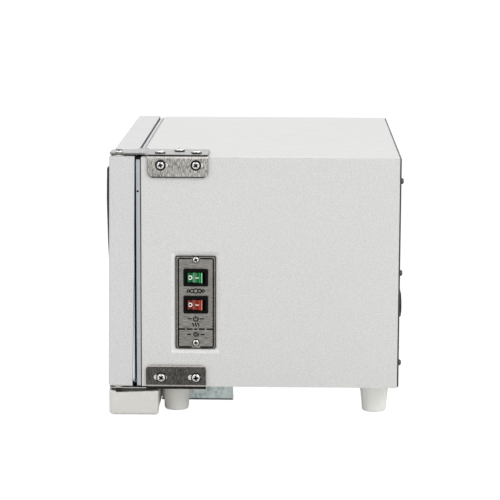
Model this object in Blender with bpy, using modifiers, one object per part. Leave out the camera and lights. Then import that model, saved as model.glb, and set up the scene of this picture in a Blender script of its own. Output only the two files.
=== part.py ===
"""Countertop hot towel cabinet with a side-hinged door, side control panel and pull-out drip tray.

Local frame of the model, in millimetres: x across the width (the hinge and control side is +x),
y from the door's front face (0) to the back, z up from the worktop (0).
The empty "cabinet_origin" shifts that frame so that the origin is the bottom centre of the whole box.
"""

import math

import bmesh
import bpy
from mathutils import Matrix, Vector

MM = 0.001

# ---------------------------------------------------------------- driving dimensions (mm)
WIDTH = 330.0                 # case width
HALF = WIDTH / 2
FOOT_H = 26.0                 # clear height under the case
CASE_H = 196.0
Z0, Z1 = FOOT_H, FOOT_H + CASE_H
CASE_Y0, CASE_Y1 = 27.3, 243.7
SHEET = 1.0                   # sheet-metal gauge
FOLD_R = 2.5                  # outer radius of the case folds
FLANGE = 12.0                 # width of the case's return flanges
GAP = 0.3                     # gap kept between touching pieces

DOOR_T = 21.2                 # door thickness
DOOR_LINER_Y = 19.9           # rear face of the door's inner sheet, set back from the rim of its skin
DOOR_Z0, DOOR_Z1 = Z0 - 0.3, Z1 + 0.3
PIVOT_X, PIVOT_Y = HALF - 5.0, 8.0    # hinge line, at the middle of its height
PIVOT_Z = Z0 + CASE_H / 2
LEAN = 0.55                   # degrees: the slotted brackets are set so that the door's foot stands forward
PIN_R = 2.5

FRAME_Y0, FRAME_Y1 = 23.2, 26.6
OPEN_X0, OPEN_X1 = -143.0, 113.0      # chamber mouth
OPEN_Z0, OPEN_Z1 = Z0 + 26.0, Z0 + 172.0
LINER_X0, LINER_X1 = -145.0, 115.0    # inside of the chamber
LINER_Z0, LINER_Z1 = Z0 + 24.0, Z0 + 174.0
LINER_Y1 = 222.0

BRACKET_T = 1.6
BRACKET_RI = 0.5
BRACKET_STEP = 1.1            # the hinge pins' seats stand this much clear of the case's top and bottom
SCREW_Y = (44.0, 73.5)        # hinge screws, front and rear

PANEL_Y0, PANEL_Y1 = 55.7, 90.8       # pressed recess, floor
PANEL_Z0, PANEL_Z1 = Z0 + 32.0, Z0 + 113.1
RECESS = 2.7
RECESS_SLOPE = 3.4
SWITCH_Y = 73.2
OZONE_Z, POWER_Z = Z0 + 93.7, Z0 + 70.4
BEZEL_W, BEZEL_H = 21.0, 15.0
ROCKER_TILT = 10.0            # half of the rocker's travel, degrees

TRAY_X = 165.6                # half width of the drip tray
TRAY_Y0, TRAY_Y1 = -0.8, 40.0
TRAY_Z0, TRAY_Z1 = 0.6, 21.8
RAIL_X = HALF - 45.0          # outer face of the tray rails
RAIL_Y0, RAIL_Y1 = 43.2, 103.5

FOOT_X, FOOT_Y = HALF - 30.0, (55.3, 225.6)
REAR_Y = 245.0
REAR_SCREW_X, REAR_SCREW_Z = HALF - 6.5, (Z0 + 21.0, Z0 + 98.0, Z0 + 176.0)
INLET_X, INLET_Z = HALF - 50.0, Z0 + 65.2
INLET_T = 2.6
HANDLE_X, HANDLE_Z0, HANDLE_Z1 = HALF - 312.0, Z0 + 47.0, Z0 + 147.0
HANDLE_OUT, HANDLE_OUT_LOW = 30.33, 27.0    # how far the bow stands out, top and bottom

BOX_X0, BOX_X1 = -TRAY_X, HALF + 0.3 + BRACKET_T + 0.3 + 2.0    # whole object, for the origin
BOX_Y0, BOX_Y1 = -HANDLE_OUT + 0.53, REAR_Y + 0.3 + INLET_T

# ---------------------------------------------------------------- scene and collections
for old in list(bpy.data.objects):
    bpy.data.objects.remove(old, do_unlink=True)

parts = bpy.data.collections.new("hot_towel_cabinet")
cutters = bpy.data.collections.new("cutters")
bpy.context.scene.collection.children.link(parts)
bpy.context.scene.collection.children.link(cutters)

MATERIALS = {
    "white_paint": ((0.66, 0.66, 0.65), 0.45, 0.0),
    "rear_coat": ((0.10, 0.10, 0.105), 0.5, 0.0),
    "frame_grey": ((0.46, 0.49, 0.52), 0.5, 0.0),
    "stainless": ((0.55, 0.53, 0.51), 0.35, 1.0),
    "screw_steel": ((0.70, 0.69, 0.67), 0.25, 1.0),
    "galvanised": ((0.48, 0.52, 0.54), 0.45, 1.0),
    "aluminium": ((0.75, 0.76, 0.77), 0.35, 1.0),
    "white_plastic": ((0.66, 0.655, 0.635), 0.4, 0.0),
    "foot_rubber": ((0.56, 0.56, 0.53), 0.6, 0.0),
    "black_plastic": ((0.02, 0.02, 0.022), 0.4, 0.0),
    "green_lens": ((0.02, 0.36, 0.13), 0.2, 0.0),
    "red_lens": ((0.62, 0.05, 0.02), 0.2, 0.0),
    "gasket_rubber": ((0.75, 0.75, 0.74), 0.6, 0.0),
    "foam": ((0.80, 0.77, 0.66), 0.9, 0.0),
    "silicone_orange": ((0.70, 0.20, 0.05), 0.6, 0.0),
    "nylon": ((0.85, 0.84, 0.80), 0.5, 0.0),
    "brown_phenolic": ((0.10, 0.05, 0.03), 0.5, 0.0),
    "magnet": ((0.05, 0.05, 0.055), 0.5, 0.0),
    "cable": ((0.05, 0.05, 0.05), 0.5, 0.0),
}


def material(piece, finish):
    colour, rough, metal = MATERIALS[finish]
    made = bpy.data.materials.new(f"{piece}_{finish}")
    made.use_nodes = True
    shader = made.node_tree.nodes["Principled BSDF"]
    shader.inputs["Base Color"].default_value = (*colour, 1.0)
    shader.inputs["Roughness"].default_value = rough
    shader.inputs["Metallic"].default_value = metal
    return made


def empty(name, x, y, z, parent=None):
    made = bpy.data.objects.new(name, None)
    parts.objects.link(made)
    made.location = Vector((x, y, z)) * MM
    if parent:
        made.parent = parent
        made.location -= parent_offset(parent)
    return made


def parent_offset(holder):
    """Where a holder empty stands in the local frame, in metres."""
    return Vector(holder["stands_at"]) * MM if "stands_at" in holder else Vector((0, 0, 0))


origin = empty("cabinet_origin", -(BOX_X0 + BOX_X1) / 2, -(BOX_Y0 + BOX_Y1) / 2, 0)


def axis_empty(name, x, y, z, lean=0.0):
    made = empty(name, x, y, z, origin)
    made["stands_at"] = (x, y, z)
    made.rotation_euler.x = -math.radians(lean)
    return made


door_axis = axis_empty("door_axis", PIVOT_X, PIVOT_Y, PIVOT_Z, LEAN)
hinge_line = axis_empty("hinge_line", PIVOT_X, PIVOT_Y, PIVOT_Z, LEAN)
tray_axis = axis_empty("tray_axis", 0, TRAY_Y0, TRAY_Z0)


def place(made, where, tint=None, holder=None, helper=False):
    """Puts an object at a local point, under its holder, with its material, or hides it as a cutter."""
    holder = holder or origin
    made.parent = holder
    made.location = Vector(where) * MM - parent_offset(holder)
    if helper:
        cutters.objects.link(made)
        made.hide_render = True
        made.display_type = "WIRE"
    else:
        parts.objects.link(made)
        made.data.materials.append(material(made.name, tint))
    return made


# ---------------------------------------------------------------- shape helpers
def smooth(made, degrees=32):
    made.data.shade_smooth()
    made.data.set_sharp_from_angle(angle=math.radians(degrees))


def box(name, x, y, z, tint=None, bevel=0.0, segments=2, edges=None, taper=None, holder=None, helper=False):
    """A box between the limits x, y and z. edges picks the edges that bevel rounds; taper moves the +x face's corners out."""
    size = Vector((x[1] - x[0], y[1] - y[0], z[1] - z[0]))
    centre = Vector((x[0] + x[1], y[0] + y[1], z[0] + z[1])) / 2
    bm = bmesh.new()
    bmesh.ops.create_cube(bm, size=1.0)
    bmesh.ops.scale(bm, vec=size * MM, verts=bm.verts)
    if taper:
        for v in bm.verts:
            if v.co.x > 0:
                v.co.y += math.copysign(taper * MM, v.co.y)
                v.co.z += math.copysign(taper * MM, v.co.z)
    if bevel:
        chosen = [e for e in bm.edges if edges is None or edges(*[v.co / MM for v in e.verts])]
        bmesh.ops.bevel(bm, geom=chosen, offset=bevel * MM, segments=segments, profile=0.5, affect="EDGES", clamp_overlap=True)
    mesh = bpy.data.meshes.new(name)
    bm.to_mesh(mesh)
    bm.free()
    made = place(bpy.data.objects.new(name, mesh), centre, tint, holder, helper)
    if bevel:
        smooth(made, 40)
    return made


def chamfer(made, size, edges):
    """A flat chamfer on the edges that edges picks from a mesh piece."""
    bm = bmesh.new()
    bm.from_mesh(made.data)
    chosen = [e for e in bm.edges if edges(*[v.co / MM for v in e.verts])]
    bmesh.ops.bevel(bm, geom=chosen, offset=size * MM, segments=1, profile=0.5, affect="EDGES", clamp_overlap=True)
    bm.to_mesh(made.data)
    bm.free()
    return made


def turned(name, profile, where, facing="+z", tint=None, steps=12, holder=None, helper=False, closed=False):
    """A turned piece: profile is (radius, height) from the top of its outer side down, turned about its axis."""
    mesh = bpy.data.meshes.new(name)
    count = len(profile)
    edges = [(i, i + 1) for i in range(count - 1)] + ([(count - 1, 0)] if closed else [])
    mesh.from_pydata([(r * MM, 0, h * MM) for r, h in profile], edges, [])
    made = place(bpy.data.objects.new(name, mesh), where, tint, holder, helper)
    turn = made.modifiers.new("turn", "SCREW")
    turn.axis = "Z"
    turn.steps = turn.render_steps = steps
    turn.use_merge_vertices = True
    turn.merge_threshold = 0.00001
    turn.use_smooth_shade = True
    made.rotation_euler = {
        "+z": (0, 0, 0),
        "-z": (math.pi, 0, 0),
        "+x": (0, math.pi / 2, 0),
        "-x": (0, -math.pi / 2, 0),
        "+y": (-math.pi / 2, 0, 0),
    }[facing]
    return made


def fillet(points, arc=4):
    """A closed outline from (u, v, radius) corners, each corner rounded to its radius."""
    out = []
    count = len(points)
    for i, (u, v, radius) in enumerate(points):
        here = Vector((u, v))
        if radius <= 0:
            out.append((u, v))
            continue
        before = (Vector(points[i - 1][:2]) - here).normalized()
        after = (Vector(points[(i + 1) % count][:2]) - here).normalized()
        half = before.angle(after) / 2
        reach = radius / math.tan(half)
        centre = here + (before + after).normalized() * (radius / math.sin(half))
        start, end = here + before * reach - centre, here + after * reach - centre
        a0 = math.atan2(start.y, start.x)
        turn = math.atan2(end.y, end.x) - a0
        turn = (turn + math.pi) % (2 * math.pi) - math.pi
        for k in range(arc + 1):
            a = a0 + turn * k / arc
            out.append((centre.x + radius * math.cos(a), centre.y + radius * math.sin(a)))
    return out


def rounded(u0, u1, v0, v1, radius=0.0, arc=4):
    return fillet([(u0, v0, radius), (u1, v0, radius), (u1, v1, radius), (u0, v1, radius)], arc)


def ring(u, v, radius, count=12):
    return [(u + radius * math.cos(2 * math.pi * k / count), v + radius * math.sin(2 * math.pi * k / count)) for k in range(count)]


def slot(u0, u1, v, radius, arc=5):
    return rounded(u0, u1, v - radius, v + radius, radius * 0.999, arc)


def plate(name, outlines, facing, near, thick, tint=None, holder=None, helper=False):
    """A flat outline with holes, extruded by thick from the coordinate near. facing is the axis of its normal:
    x takes (y, z) outlines, y takes (x, z) and z takes (x, y)."""
    curve = bpy.data.curves.new(name, "CURVE")
    curve.dimensions = "2D"
    curve.fill_mode = "BOTH"
    curve.extrude = thick / 2 * MM
    for outline in outlines:
        spline = curve.splines.new("POLY")
        spline.points.add(len(outline) - 1)
        for point, (u, v) in zip(spline.points, outline):
            point.co = (u * MM, v * MM, 0, 1)
        spline.use_cyclic_u = True
    middle = near + thick / 2
    where = {"x": (middle, 0, 0), "y": (0, middle, 0), "z": (0, 0, middle)}[facing]
    made = place(bpy.data.objects.new(name, curve), where, tint, holder, helper)
    made.rotation_euler = {"x": (math.pi / 2, 0, math.pi / 2), "y": (math.pi / 2, 0, 0), "z": (0, 0, 0)}[facing]
    return made


def meshed(made):
    """The same piece as a mesh object, so that it can be cut or joined."""
    bpy.context.view_layer.update()
    graph = bpy.context.evaluated_depsgraph_get()
    mesh = bpy.data.meshes.new_from_object(made.evaluated_get(graph))
    bm = bmesh.new()
    bm.from_mesh(mesh)
    bmesh.ops.remove_doubles(bm, verts=bm.verts, dist=0.000001)
    bmesh.ops.recalc_face_normals(bm, faces=bm.faces)
    bm.to_mesh(mesh)
    bm.free()
    name, home = made.name, made.users_collection[0]
    again = bpy.data.objects.new(name + "_mesh", mesh)
    home.objects.link(again)
    again.parent = made.parent
    again.matrix_basis = made.matrix_basis.copy()
    again.hide_render, again.display_type = made.hide_render, made.display_type
    bpy.data.objects.remove(made, do_unlink=True)
    again.name = name
    return again


def cut(made, cutter, operation="DIFFERENCE"):
    change = made.modifiers.new(operation.lower(), "BOOLEAN")
    change.object = cutter
    change.operation = operation
    change.solver = "EXACT"
    return made


def pegs(name, items, holder=None):
    """One cutter of several separate cylinders, each (facing, centre, radius, length)."""
    bm = bmesh.new()
    turn = {"x": Matrix.Rotation(math.pi / 2, 4, "Y"), "y": Matrix.Rotation(math.pi / 2, 4, "X"), "z": Matrix.Identity(4)}
    for facing, centre, radius, length in items:
        bmesh.ops.create_cone(
            bm, cap_ends=True, segments=12, radius1=radius * MM, radius2=radius * MM, depth=length * MM,
            matrix=Matrix.Translation(Vector(centre) * MM) @ turn[facing],
        )
    mesh = bpy.data.meshes.new(name)
    bm.to_mesh(mesh)
    bm.free()
    return place(bpy.data.objects.new(name, mesh), (0, 0, 0), holder=holder, helper=True)


def tube(name, points, radius, tint, sides=2):
    """A round lead along a smooth line through the given points."""
    curve = bpy.data.curves.new(name, "CURVE")
    curve.dimensions = "3D"
    curve.bevel_depth = radius * MM
    curve.bevel_resolution = sides
    curve.use_fill_caps = True
    line = smooth_line([Vector(p) for p in points], 4)
    spline = curve.splines.new("POLY")
    spline.points.add(len(line) - 1)
    for point, p in zip(spline.points, line):
        point.co = (*(p * MM), 1)
    return place(bpy.data.objects.new(name, curve), (0, 0, 0), tint)


def smooth_line(points, between):
    """Catmull-Rom points through the given ones."""
    out = []
    ends = [points[0] * 2 - points[1], *points, points[-1] * 2 - points[-2]]
    for i in range(1, len(ends) - 2):
        a, b, c, d = ends[i - 1 : i + 3]
        for k in range(between):
            t = k / between
            out.append(0.5 * (2 * b + (c - a) * t + (2 * a - 5 * b + 4 * c - d) * t * t + (3 * b - a - 3 * c + d) * t**3))
    return [*out, points[-1]]


def screw(name, where, facing, head_r, head_h, shank_r, length, holder=None, steps=12):
    """A pan-head screw. where is the middle of the face under its head."""
    profile = [(0, head_h), (head_r * 0.62, head_h * 0.9), (head_r * 0.92, head_h * 0.5), (head_r, 0), (shank_r, 0), (shank_r, -length), (0, -length)]
    return turned(name, profile, where, facing, "screw_steel", steps, holder)


# ---------------------------------------------------------------- outer case: one folded sheet, top and both sides
u_shape = fillet(
    [
        (-HALF, Z0, 0), (-HALF + SHEET, Z0, 0), (-HALF + SHEET, Z1 - SHEET, FOLD_R - SHEET), (HALF - SHEET, Z1 - SHEET, FOLD_R - SHEET),
        (HALF - SHEET, Z0, 0), (HALF, Z0, 0), (HALF, Z1, FOLD_R), (-HALF, Z1, FOLD_R),
    ],
    3,
)
outer_case = meshed(plate("outer_case", [u_shape], "y", CASE_Y0, CASE_Y1 - CASE_Y0, "white_paint"))


def return_flange(name, near):
    """The strip folded in round the mouth of the case: down both sides and across the top."""
    e, w = 0.5, FLANGE
    return meshed(
        plate(
            name,
            [[
                (-HALF + e, Z0 + 0.4), (-HALF + w, Z0 + 0.4), (-HALF + w, Z1 - w), (HALF - w, Z1 - w),
                (HALF - w, Z0 + 0.4), (HALF - e, Z0 + 0.4), (HALF - e, Z1 - FOLD_R * 0.6), (HALF - FOLD_R * 0.6, Z1 - e),
                (-HALF + FOLD_R * 0.6, Z1 - e), (-HALF + e, Z1 - FOLD_R * 0.6),
            ]],
            "y", near, SHEET, helper=True,
        )
    )


cut(outer_case, return_flange("front_flange", CASE_Y0 + 0.05), "UNION")
cut(outer_case, return_flange("rear_flange", CASE_Y1 - SHEET - 0.05), "UNION")
pan = box(
    "recess_pan", (HALF - RECESS - SHEET, HALF - 0.4), (PANEL_Y0 - SHEET, PANEL_Y1 + SHEET), (PANEL_Z0 - SHEET, PANEL_Z1 + SHEET),
    taper=RECESS_SLOPE * 1.2, helper=True,
)
cut(outer_case, pan, "UNION")
recess = box(
    "recess_space", (HALF - RECESS, HALF + RECESS), (PANEL_Y0, PANEL_Y1), (PANEL_Z0, PANEL_Z1), taper=RECESS_SLOPE * 2, helper=True,
)
cut(outer_case, recess)
for label, zc in (("ozone", OZONE_Z), ("power", POWER_Z)):
    cut(outer_case, box(f"{label}_cutout", (HALF - 12, HALF + 3), (SWITCH_Y - 9.6, SWITCH_Y + 9.6), (zc - 6.6, zc + 6.6), helper=True))

TOP_SCREWS = [(HALF - 10.0, SCREW_Y[0] - 1.0), (HALF - 24.0, 58.6), (HALF - 10.0, SCREW_Y[1])]
SIDE_SCREWS_TOP = [(y, Z0 + 189.2) for y in SCREW_Y]
SIDE_SCREWS_BOTTOM = [(y, Z0 + 8.0) for y in SCREW_Y]
PLATE_SCREWS = [(SWITCH_Y + 0.1, Z0 + 108.9), (SWITCH_Y + 0.1, Z0 + 37.7)]
UNDER_SCREWS = [(HALF - 8.0, y) for y in SCREW_Y]
cut(
    outer_case,
    pegs(
        "case_holes",
        [("z", (x, y, Z1), 2.1, 6) for x, y in TOP_SCREWS]
        + [("x", (HALF, y, z), 2.1, 6) for y, z in SIDE_SCREWS_TOP + SIDE_SCREWS_BOTTOM]
        + [("x", (HALF - RECESS, y, z), 1.6, 6) for y, z in PLATE_SCREWS]
        + [("y", (s * REAR_SCREW_X, CASE_Y1, z), 1.9, 6) for s in (-1, 1) for z in REAR_SCREW_Z],
    ),
)

# ---------------------------------------------------------------- base and back
base_pan = meshed(
    plate(
        "base_pan",
        [[
            (CASE_Y0 + 1.4, Z0), (CASE_Y1 - 1.4, Z0), (CASE_Y1 - 1.4, Z0 + FLANGE), (CASE_Y1 - 1.4 - SHEET, Z0 + FLANGE),
            (CASE_Y1 - 1.4 - SHEET, Z0 + SHEET), (CASE_Y0 + 1.4 + SHEET, Z0 + SHEET), (CASE_Y0 + 1.4 + SHEET, Z0 + FLANGE), (CASE_Y0 + 1.4, Z0 + FLANGE),
        ]],
        "x", -HALF + 1.4, WIDTH - 2.8, "galvanised",
    )
)
cut(
    base_pan,
    pegs(
        "base_holes",
        [("z", (s * FOOT_X, y, Z0), 3.0, 6) for s in (-1, 1) for y in FOOT_Y] + [("z", (x, y, Z0), 2.1, 6) for x, y in UNDER_SCREWS],
    ),
)

vents = [slot(x0, x0 + 34, Z0 + 150 - 9 * k, 1.8, 3) for x0 in (-118, -68) for k in range(4)]
plate(
    "rear_panel",
    [
        rounded(-HALF + 0.4, HALF - 0.4, Z0 + 0.4, Z1 - 0.4, 2.0, 3),
        rounded(INLET_X - 13.8, INLET_X + 13.8, INLET_Z - 9.8, INLET_Z + 9.8),
        *[ring(s * REAR_SCREW_X, z, 1.9, 10) for s in (-1, 1) for z in REAR_SCREW_Z],
        *vents,
    ],
    "y", REAR_Y - SHEET, SHEET, "rear_coat",
)
for side, s in (("left", -1), ("right", 1)):
    for level, z in zip(("lower", "middle", "upper"), REAR_SCREW_Z):
        screw(f"rear_screw_{side}_{level}", (s * REAR_SCREW_X, REAR_Y + GAP, z), "+y", 2.6, 2.0, 1.6, 8.0)

# ---------------------------------------------------------------- front frame, chamber and insulation
MAGNET_X, MAGNET_Z = (-152.0, -145.4), (Z0 + 84.0, Z0 + 112.0)
plate(
    "front_frame",
    [
        rounded(-HALF + 1.2, HALF - 1.2, Z0 + 1.2, Z1 - 1.2, 3.0),
        rounded(OPEN_X0, OPEN_X1, OPEN_Z0, OPEN_Z1, 4.0),
        rounded(MAGNET_X[0] - 0.3, MAGNET_X[1] + 0.3, MAGNET_Z[0] - 0.3, MAGNET_Z[1] + 0.3),
    ],
    "y", FRAME_Y0, FRAME_Y1 - FRAME_Y0, "frame_grey",
)
box("magnetic_catch", MAGNET_X, (22.6, FRAME_Y1 - 0.1), MAGNET_Z, "magnet")

NOZZLE_Y, NOZZLE_Z = 170.0, Z0 + 124.0
liner = box(
    "chamber_liner", (LINER_X0 - SHEET, LINER_X1 + SHEET), (FRAME_Y1 + 0.4, LINER_Y1 + SHEET), (LINER_Z0 - SHEET, LINER_Z1 + SHEET), "aluminium",
)
cut(liner, box("chamber_space", (LINER_X0, LINER_X1), (0, LINER_Y1), (LINER_Z0, LINER_Z1), helper=True))
cut(liner, pegs("nozzle_hole_liner", [("x", (LINER_X1, NOZZLE_Y, NOZZLE_Z), 4.4, 10)]))

sleeve = meshed(
    plate(
        "chamber_insulation",
        [rounded(-160, 126, Z0 + 8, Z1 - 8, 2, 2), rounded(LINER_X0 - 1.5, LINER_X1 + 1.5, Z0 + 20.2, LINER_Z1 + 1.5)],
        "y", 30.0, 192.0, "foam",
    )
)
cut(sleeve, pegs("nozzle_hole_sleeve", [("x", (LINER_X1 + 6, NOZZLE_Y, NOZZLE_Z), 4.6, 30)]))
box("heater_mat", (-120, 90), (45, 222), (LINER_Z0 - SHEET - 2.3, LINER_Z0 - SHEET - 0.3), "silicone_orange")

# ---------------------------------------------------------------- shelf and its ledges
SHELF_Z = Z0 + 94.5
for side, wall, s in (("left", LINER_X0, 1), ("right", LINER_X1, -1)):
    x = [wall + s * d for d in (0.3, 1.3, 9.3)]
    z = SHELF_Z - 2.4
    outline = [(x[0], z), (x[2], z), (x[2], z - 1), (x[1], z - 1), (x[1], z - 9), (x[0], z - 9)]
    plate(f"shelf_ledge_{side}", [outline], "y", 45.0, 165.0, "aluminium")

WIRE = 2.0
rim = bpy.data.curves.new("wire_shelf", "CURVE")
rim.dimensions = "3D"
rim.bevel_depth = WIRE * MM
rim.bevel_resolution = 1
loop = rounded(LINER_X0 + 4.5, LINER_X1 - 4.5, 38.0, 214.0, 10.0, 3)
spline = rim.splines.new("POLY")
spline.points.add(len(loop) - 1)
for point, (u, v) in zip(spline.points, loop):
    point.co = (u * MM, v * MM, 0, 1)
spline.use_cyclic_u = True
shelf = meshed(place(bpy.data.objects.new("wire_shelf", rim), (0, 0, SHELF_Z), "screw_steel"))
bars = bpy.data.collections.new("shelf_bars")
cutters.children.link(bars)
for k in range(11):
    x = LINER_X0 + 4.5 + (LINER_X1 - LINER_X0 - 9.0) * (k + 1) / 12
    bm = bmesh.new()
    bmesh.ops.create_cone(bm, cap_ends=True, segments=6, radius1=1.4 * MM, radius2=1.4 * MM, depth=176.6 * MM, matrix=Matrix.Rotation(math.pi / 2, 4, "X"))
    mesh = bpy.data.meshes.new(f"bar_{k}")
    bm.to_mesh(mesh)
    bm.free()
    bar = place(bpy.data.objects.new(f"bar_{k}", mesh), (x, 126.0, SHELF_Z + 1.1), helper=True)
    cutters.objects.unlink(bar)
    bars.objects.link(bar)
weld = shelf.modifiers.new("bars", "BOOLEAN")
weld.operation = "UNION"
weld.operand_type = "COLLECTION"
weld.collection = bars
weld.solver = "EXACT"

# ---------------------------------------------------------------- heat control, ozone and wiring
for name, x, r, h in (("thermostat", 62.0, 8.2, 9.0), ("thermal_cutout", 30.0, 6.5, 8.0)):
    turned(
        name, [(0, h), (r * 0.55, h), (r * 0.55, h * 0.62), (r, h * 0.6), (r, 0), (0, 0)], (x, LINER_Y1 + SHEET + GAP, Z0 + 60.0), "+y", "brown_phenolic", 14,
    )
ozone = box("ozone_generator", (126.4, 151), (148, 198), (NOZZLE_Z - 16, NOZZLE_Z + 18), "white_plastic", bevel=1.5)
cut(ozone, turned("nozzle", [(0, 28), (4.0, 28), (4.0, 0), (0, 0)], (113.0, NOZZLE_Y, NOZZLE_Z), "+x", steps=14, helper=True), "UNION")
block = box("terminal_block", (134, 156), (100, 140), (Z0 + SHEET + 0.3, Z0 + 18), "nylon", bevel=1.0)

# Flange with a pointed lug at each end for its screws.
lug_corners = [(-25.0, -4.0, 3.5), (-14.8, -10.7, 3.0), (14.8, -10.7, 3.0), (25.0, -4.0, 3.5), (25.0, 4.0, 3.5), (14.8, 10.7, 3.0), (-14.8, 10.7, 3.0), (-25.0, 4.0, 3.5)]
inlet = meshed(plate("power_inlet", [fillet([(INLET_X + u, INLET_Z + v, r) for u, v, r in lug_corners])], "y", REAR_Y + GAP, INLET_T, "black_plastic"))
cut(inlet, box("inlet_body", (INLET_X - 13.5, INLET_X + 13.5), (226.0, REAR_Y + 2), (INLET_Z - 9.5, INLET_Z + 9.5), helper=True), "UNION")
cut(inlet, box("inlet_socket", (INLET_X - 12, INLET_X + 12), (233.0, REAR_Y + 8), (INLET_Z - 8, INLET_Z + 8), bevel=2.5, segments=2, edges=lambda a, b: abs(a.y - b.y) > 10, helper=True))

tube("mains_lead", [(INLET_X + 14.4, 236, INLET_Z), (142, 236, INLET_Z - 1), (149, 228, INLET_Z - 14), (150, 205, 62), (148, 170, 42), (146, 148, 36.5), (146, 140.7, 36)], 3.0, "cable")
tube("heater_lead", [(80, 224.4, Z0 + 21.6), (90, 229, Z0 + 21), (112, 234, Z0 + 18), (136, 228, Z0 + 12), (141, 200, Z0 + 8), (139, 165, Z0 + 8), (138, 147, Z0 + 8.5), (138, 140.6, Z0 + 8.5)], 1.8, "silicone_orange")
tube("switch_lead", [(146, 99.2, Z0 + 10), (146, 94, Z0 + 10.5), (146, 87, Z0 + 20), (140, 80, Z0 + 36), (136, 76, Z0 + 56), (136.5, 74.5, POWER_Z - 4), (142.4, 74, POWER_Z - 3)], 2.0, "cable")

# ---------------------------------------------------------------- control panel
plate_x0 = HALF - RECESS + GAP
plate(
    "control_plate",
    [
        rounded(PANEL_Y0 + 0.3, PANEL_Y1 - 0.3, PANEL_Z0 + 0.3, PANEL_Z1 - 0.3, 1.6, 3),
        *[rounded(SWITCH_Y - 9.6, SWITCH_Y + 9.6, zc - 6.6, zc + 6.6) for zc in (OZONE_Z, POWER_Z)],
        *[ring(y, z, 1.6, 10) for y, z in PLATE_SCREWS],
    ],
    "x", plate_x0, 0.8, "stainless",
)
for level, (y, z) in zip(("upper", "lower"), PLATE_SCREWS):
    screw(f"control_plate_screw_{level}", (plate_x0 + 0.8 + GAP, y, z), "+x", 2.9, 1.7, 1.3, 8.0)

BEZEL_X0, BEZEL_T = plate_x0 + 0.8 + GAP, 1.8
ROCKER_X = BEZEL_X0 + BEZEL_T - 3.6          # pivot line of the rockers
WELL_Y, WELL_Z = 7.45, 4.5


def rocker_switch(label, zc, lens):
    """A snap-in rocker switch: bezel and body in one moulding, and the lens that rocks in its well."""
    holder = axis_empty(f"{label}_rocker_axis", ROCKER_X, SWITCH_Y, zc)
    body = meshed(
        plate(f"{label}_switch_housing", [rounded(SWITCH_Y - BEZEL_W / 2, SWITCH_Y + BEZEL_W / 2, zc - BEZEL_H / 2, zc + BEZEL_H / 2, 1.0, 3)], "x", BEZEL_X0, BEZEL_T, "black_plastic")
    )
    cut(body, box(f"{label}_body", (BEZEL_X0 - 20, BEZEL_X0 + 0.9), (SWITCH_Y - 9.3, SWITCH_Y + 9.3), (zc - 6.3, zc + 6.3), helper=True), "UNION")
    cut(body, box(f"{label}_well", (ROCKER_X - 3.2, BEZEL_X0 + 6), (SWITCH_Y - WELL_Y, SWITCH_Y + WELL_Y), (zc - WELL_Z, zc + WELL_Z), helper=True))
    cut(body, pegs(f"{label}_trunnion_holes", [("z", (ROCKER_X, SWITCH_Y, zc), 1.05, 2 * WELL_Z + 1.8)]))
    # Section across the pivot: a shallow V on top, so that the pressed half lies level.
    up = math.tan(math.radians(ROCKER_TILT))
    section = [(3.0, 0), (3.0 + 6.6 * up, 6.6), (1.6, 6.5), (-1.5, 4.6), (-1.5, -4.6), (1.6, -6.5), (3.0 + 6.6 * up, -6.6)]
    lens_piece = plate(f"{label}_rocker", [section], "z", -WELL_Z + 0.25, 2 * WELL_Z - 0.5, lens, helper=False)
    lens_piece = meshed(lens_piece)
    lens_piece.parent = holder
    lens_piece.location = (0, 0, 0)
    lens_piece.rotation_euler = (0, 0, -math.radians(ROCKER_TILT))
    pin = turned(
        f"{label}_trunnions", [(0, WELL_Z + 0.6), (0.95, WELL_Z + 0.6), (0.95, -WELL_Z - 0.6), (0, -WELL_Z - 0.6)], (ROCKER_X, SWITCH_Y, zc), "+z", steps=12, holder=holder, helper=True,
    )
    cut(lens_piece, pin, "UNION")


rocker_switch("ozone", OZONE_Z, "green_lens")
rocker_switch("power", POWER_Z, "red_lens")


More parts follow.
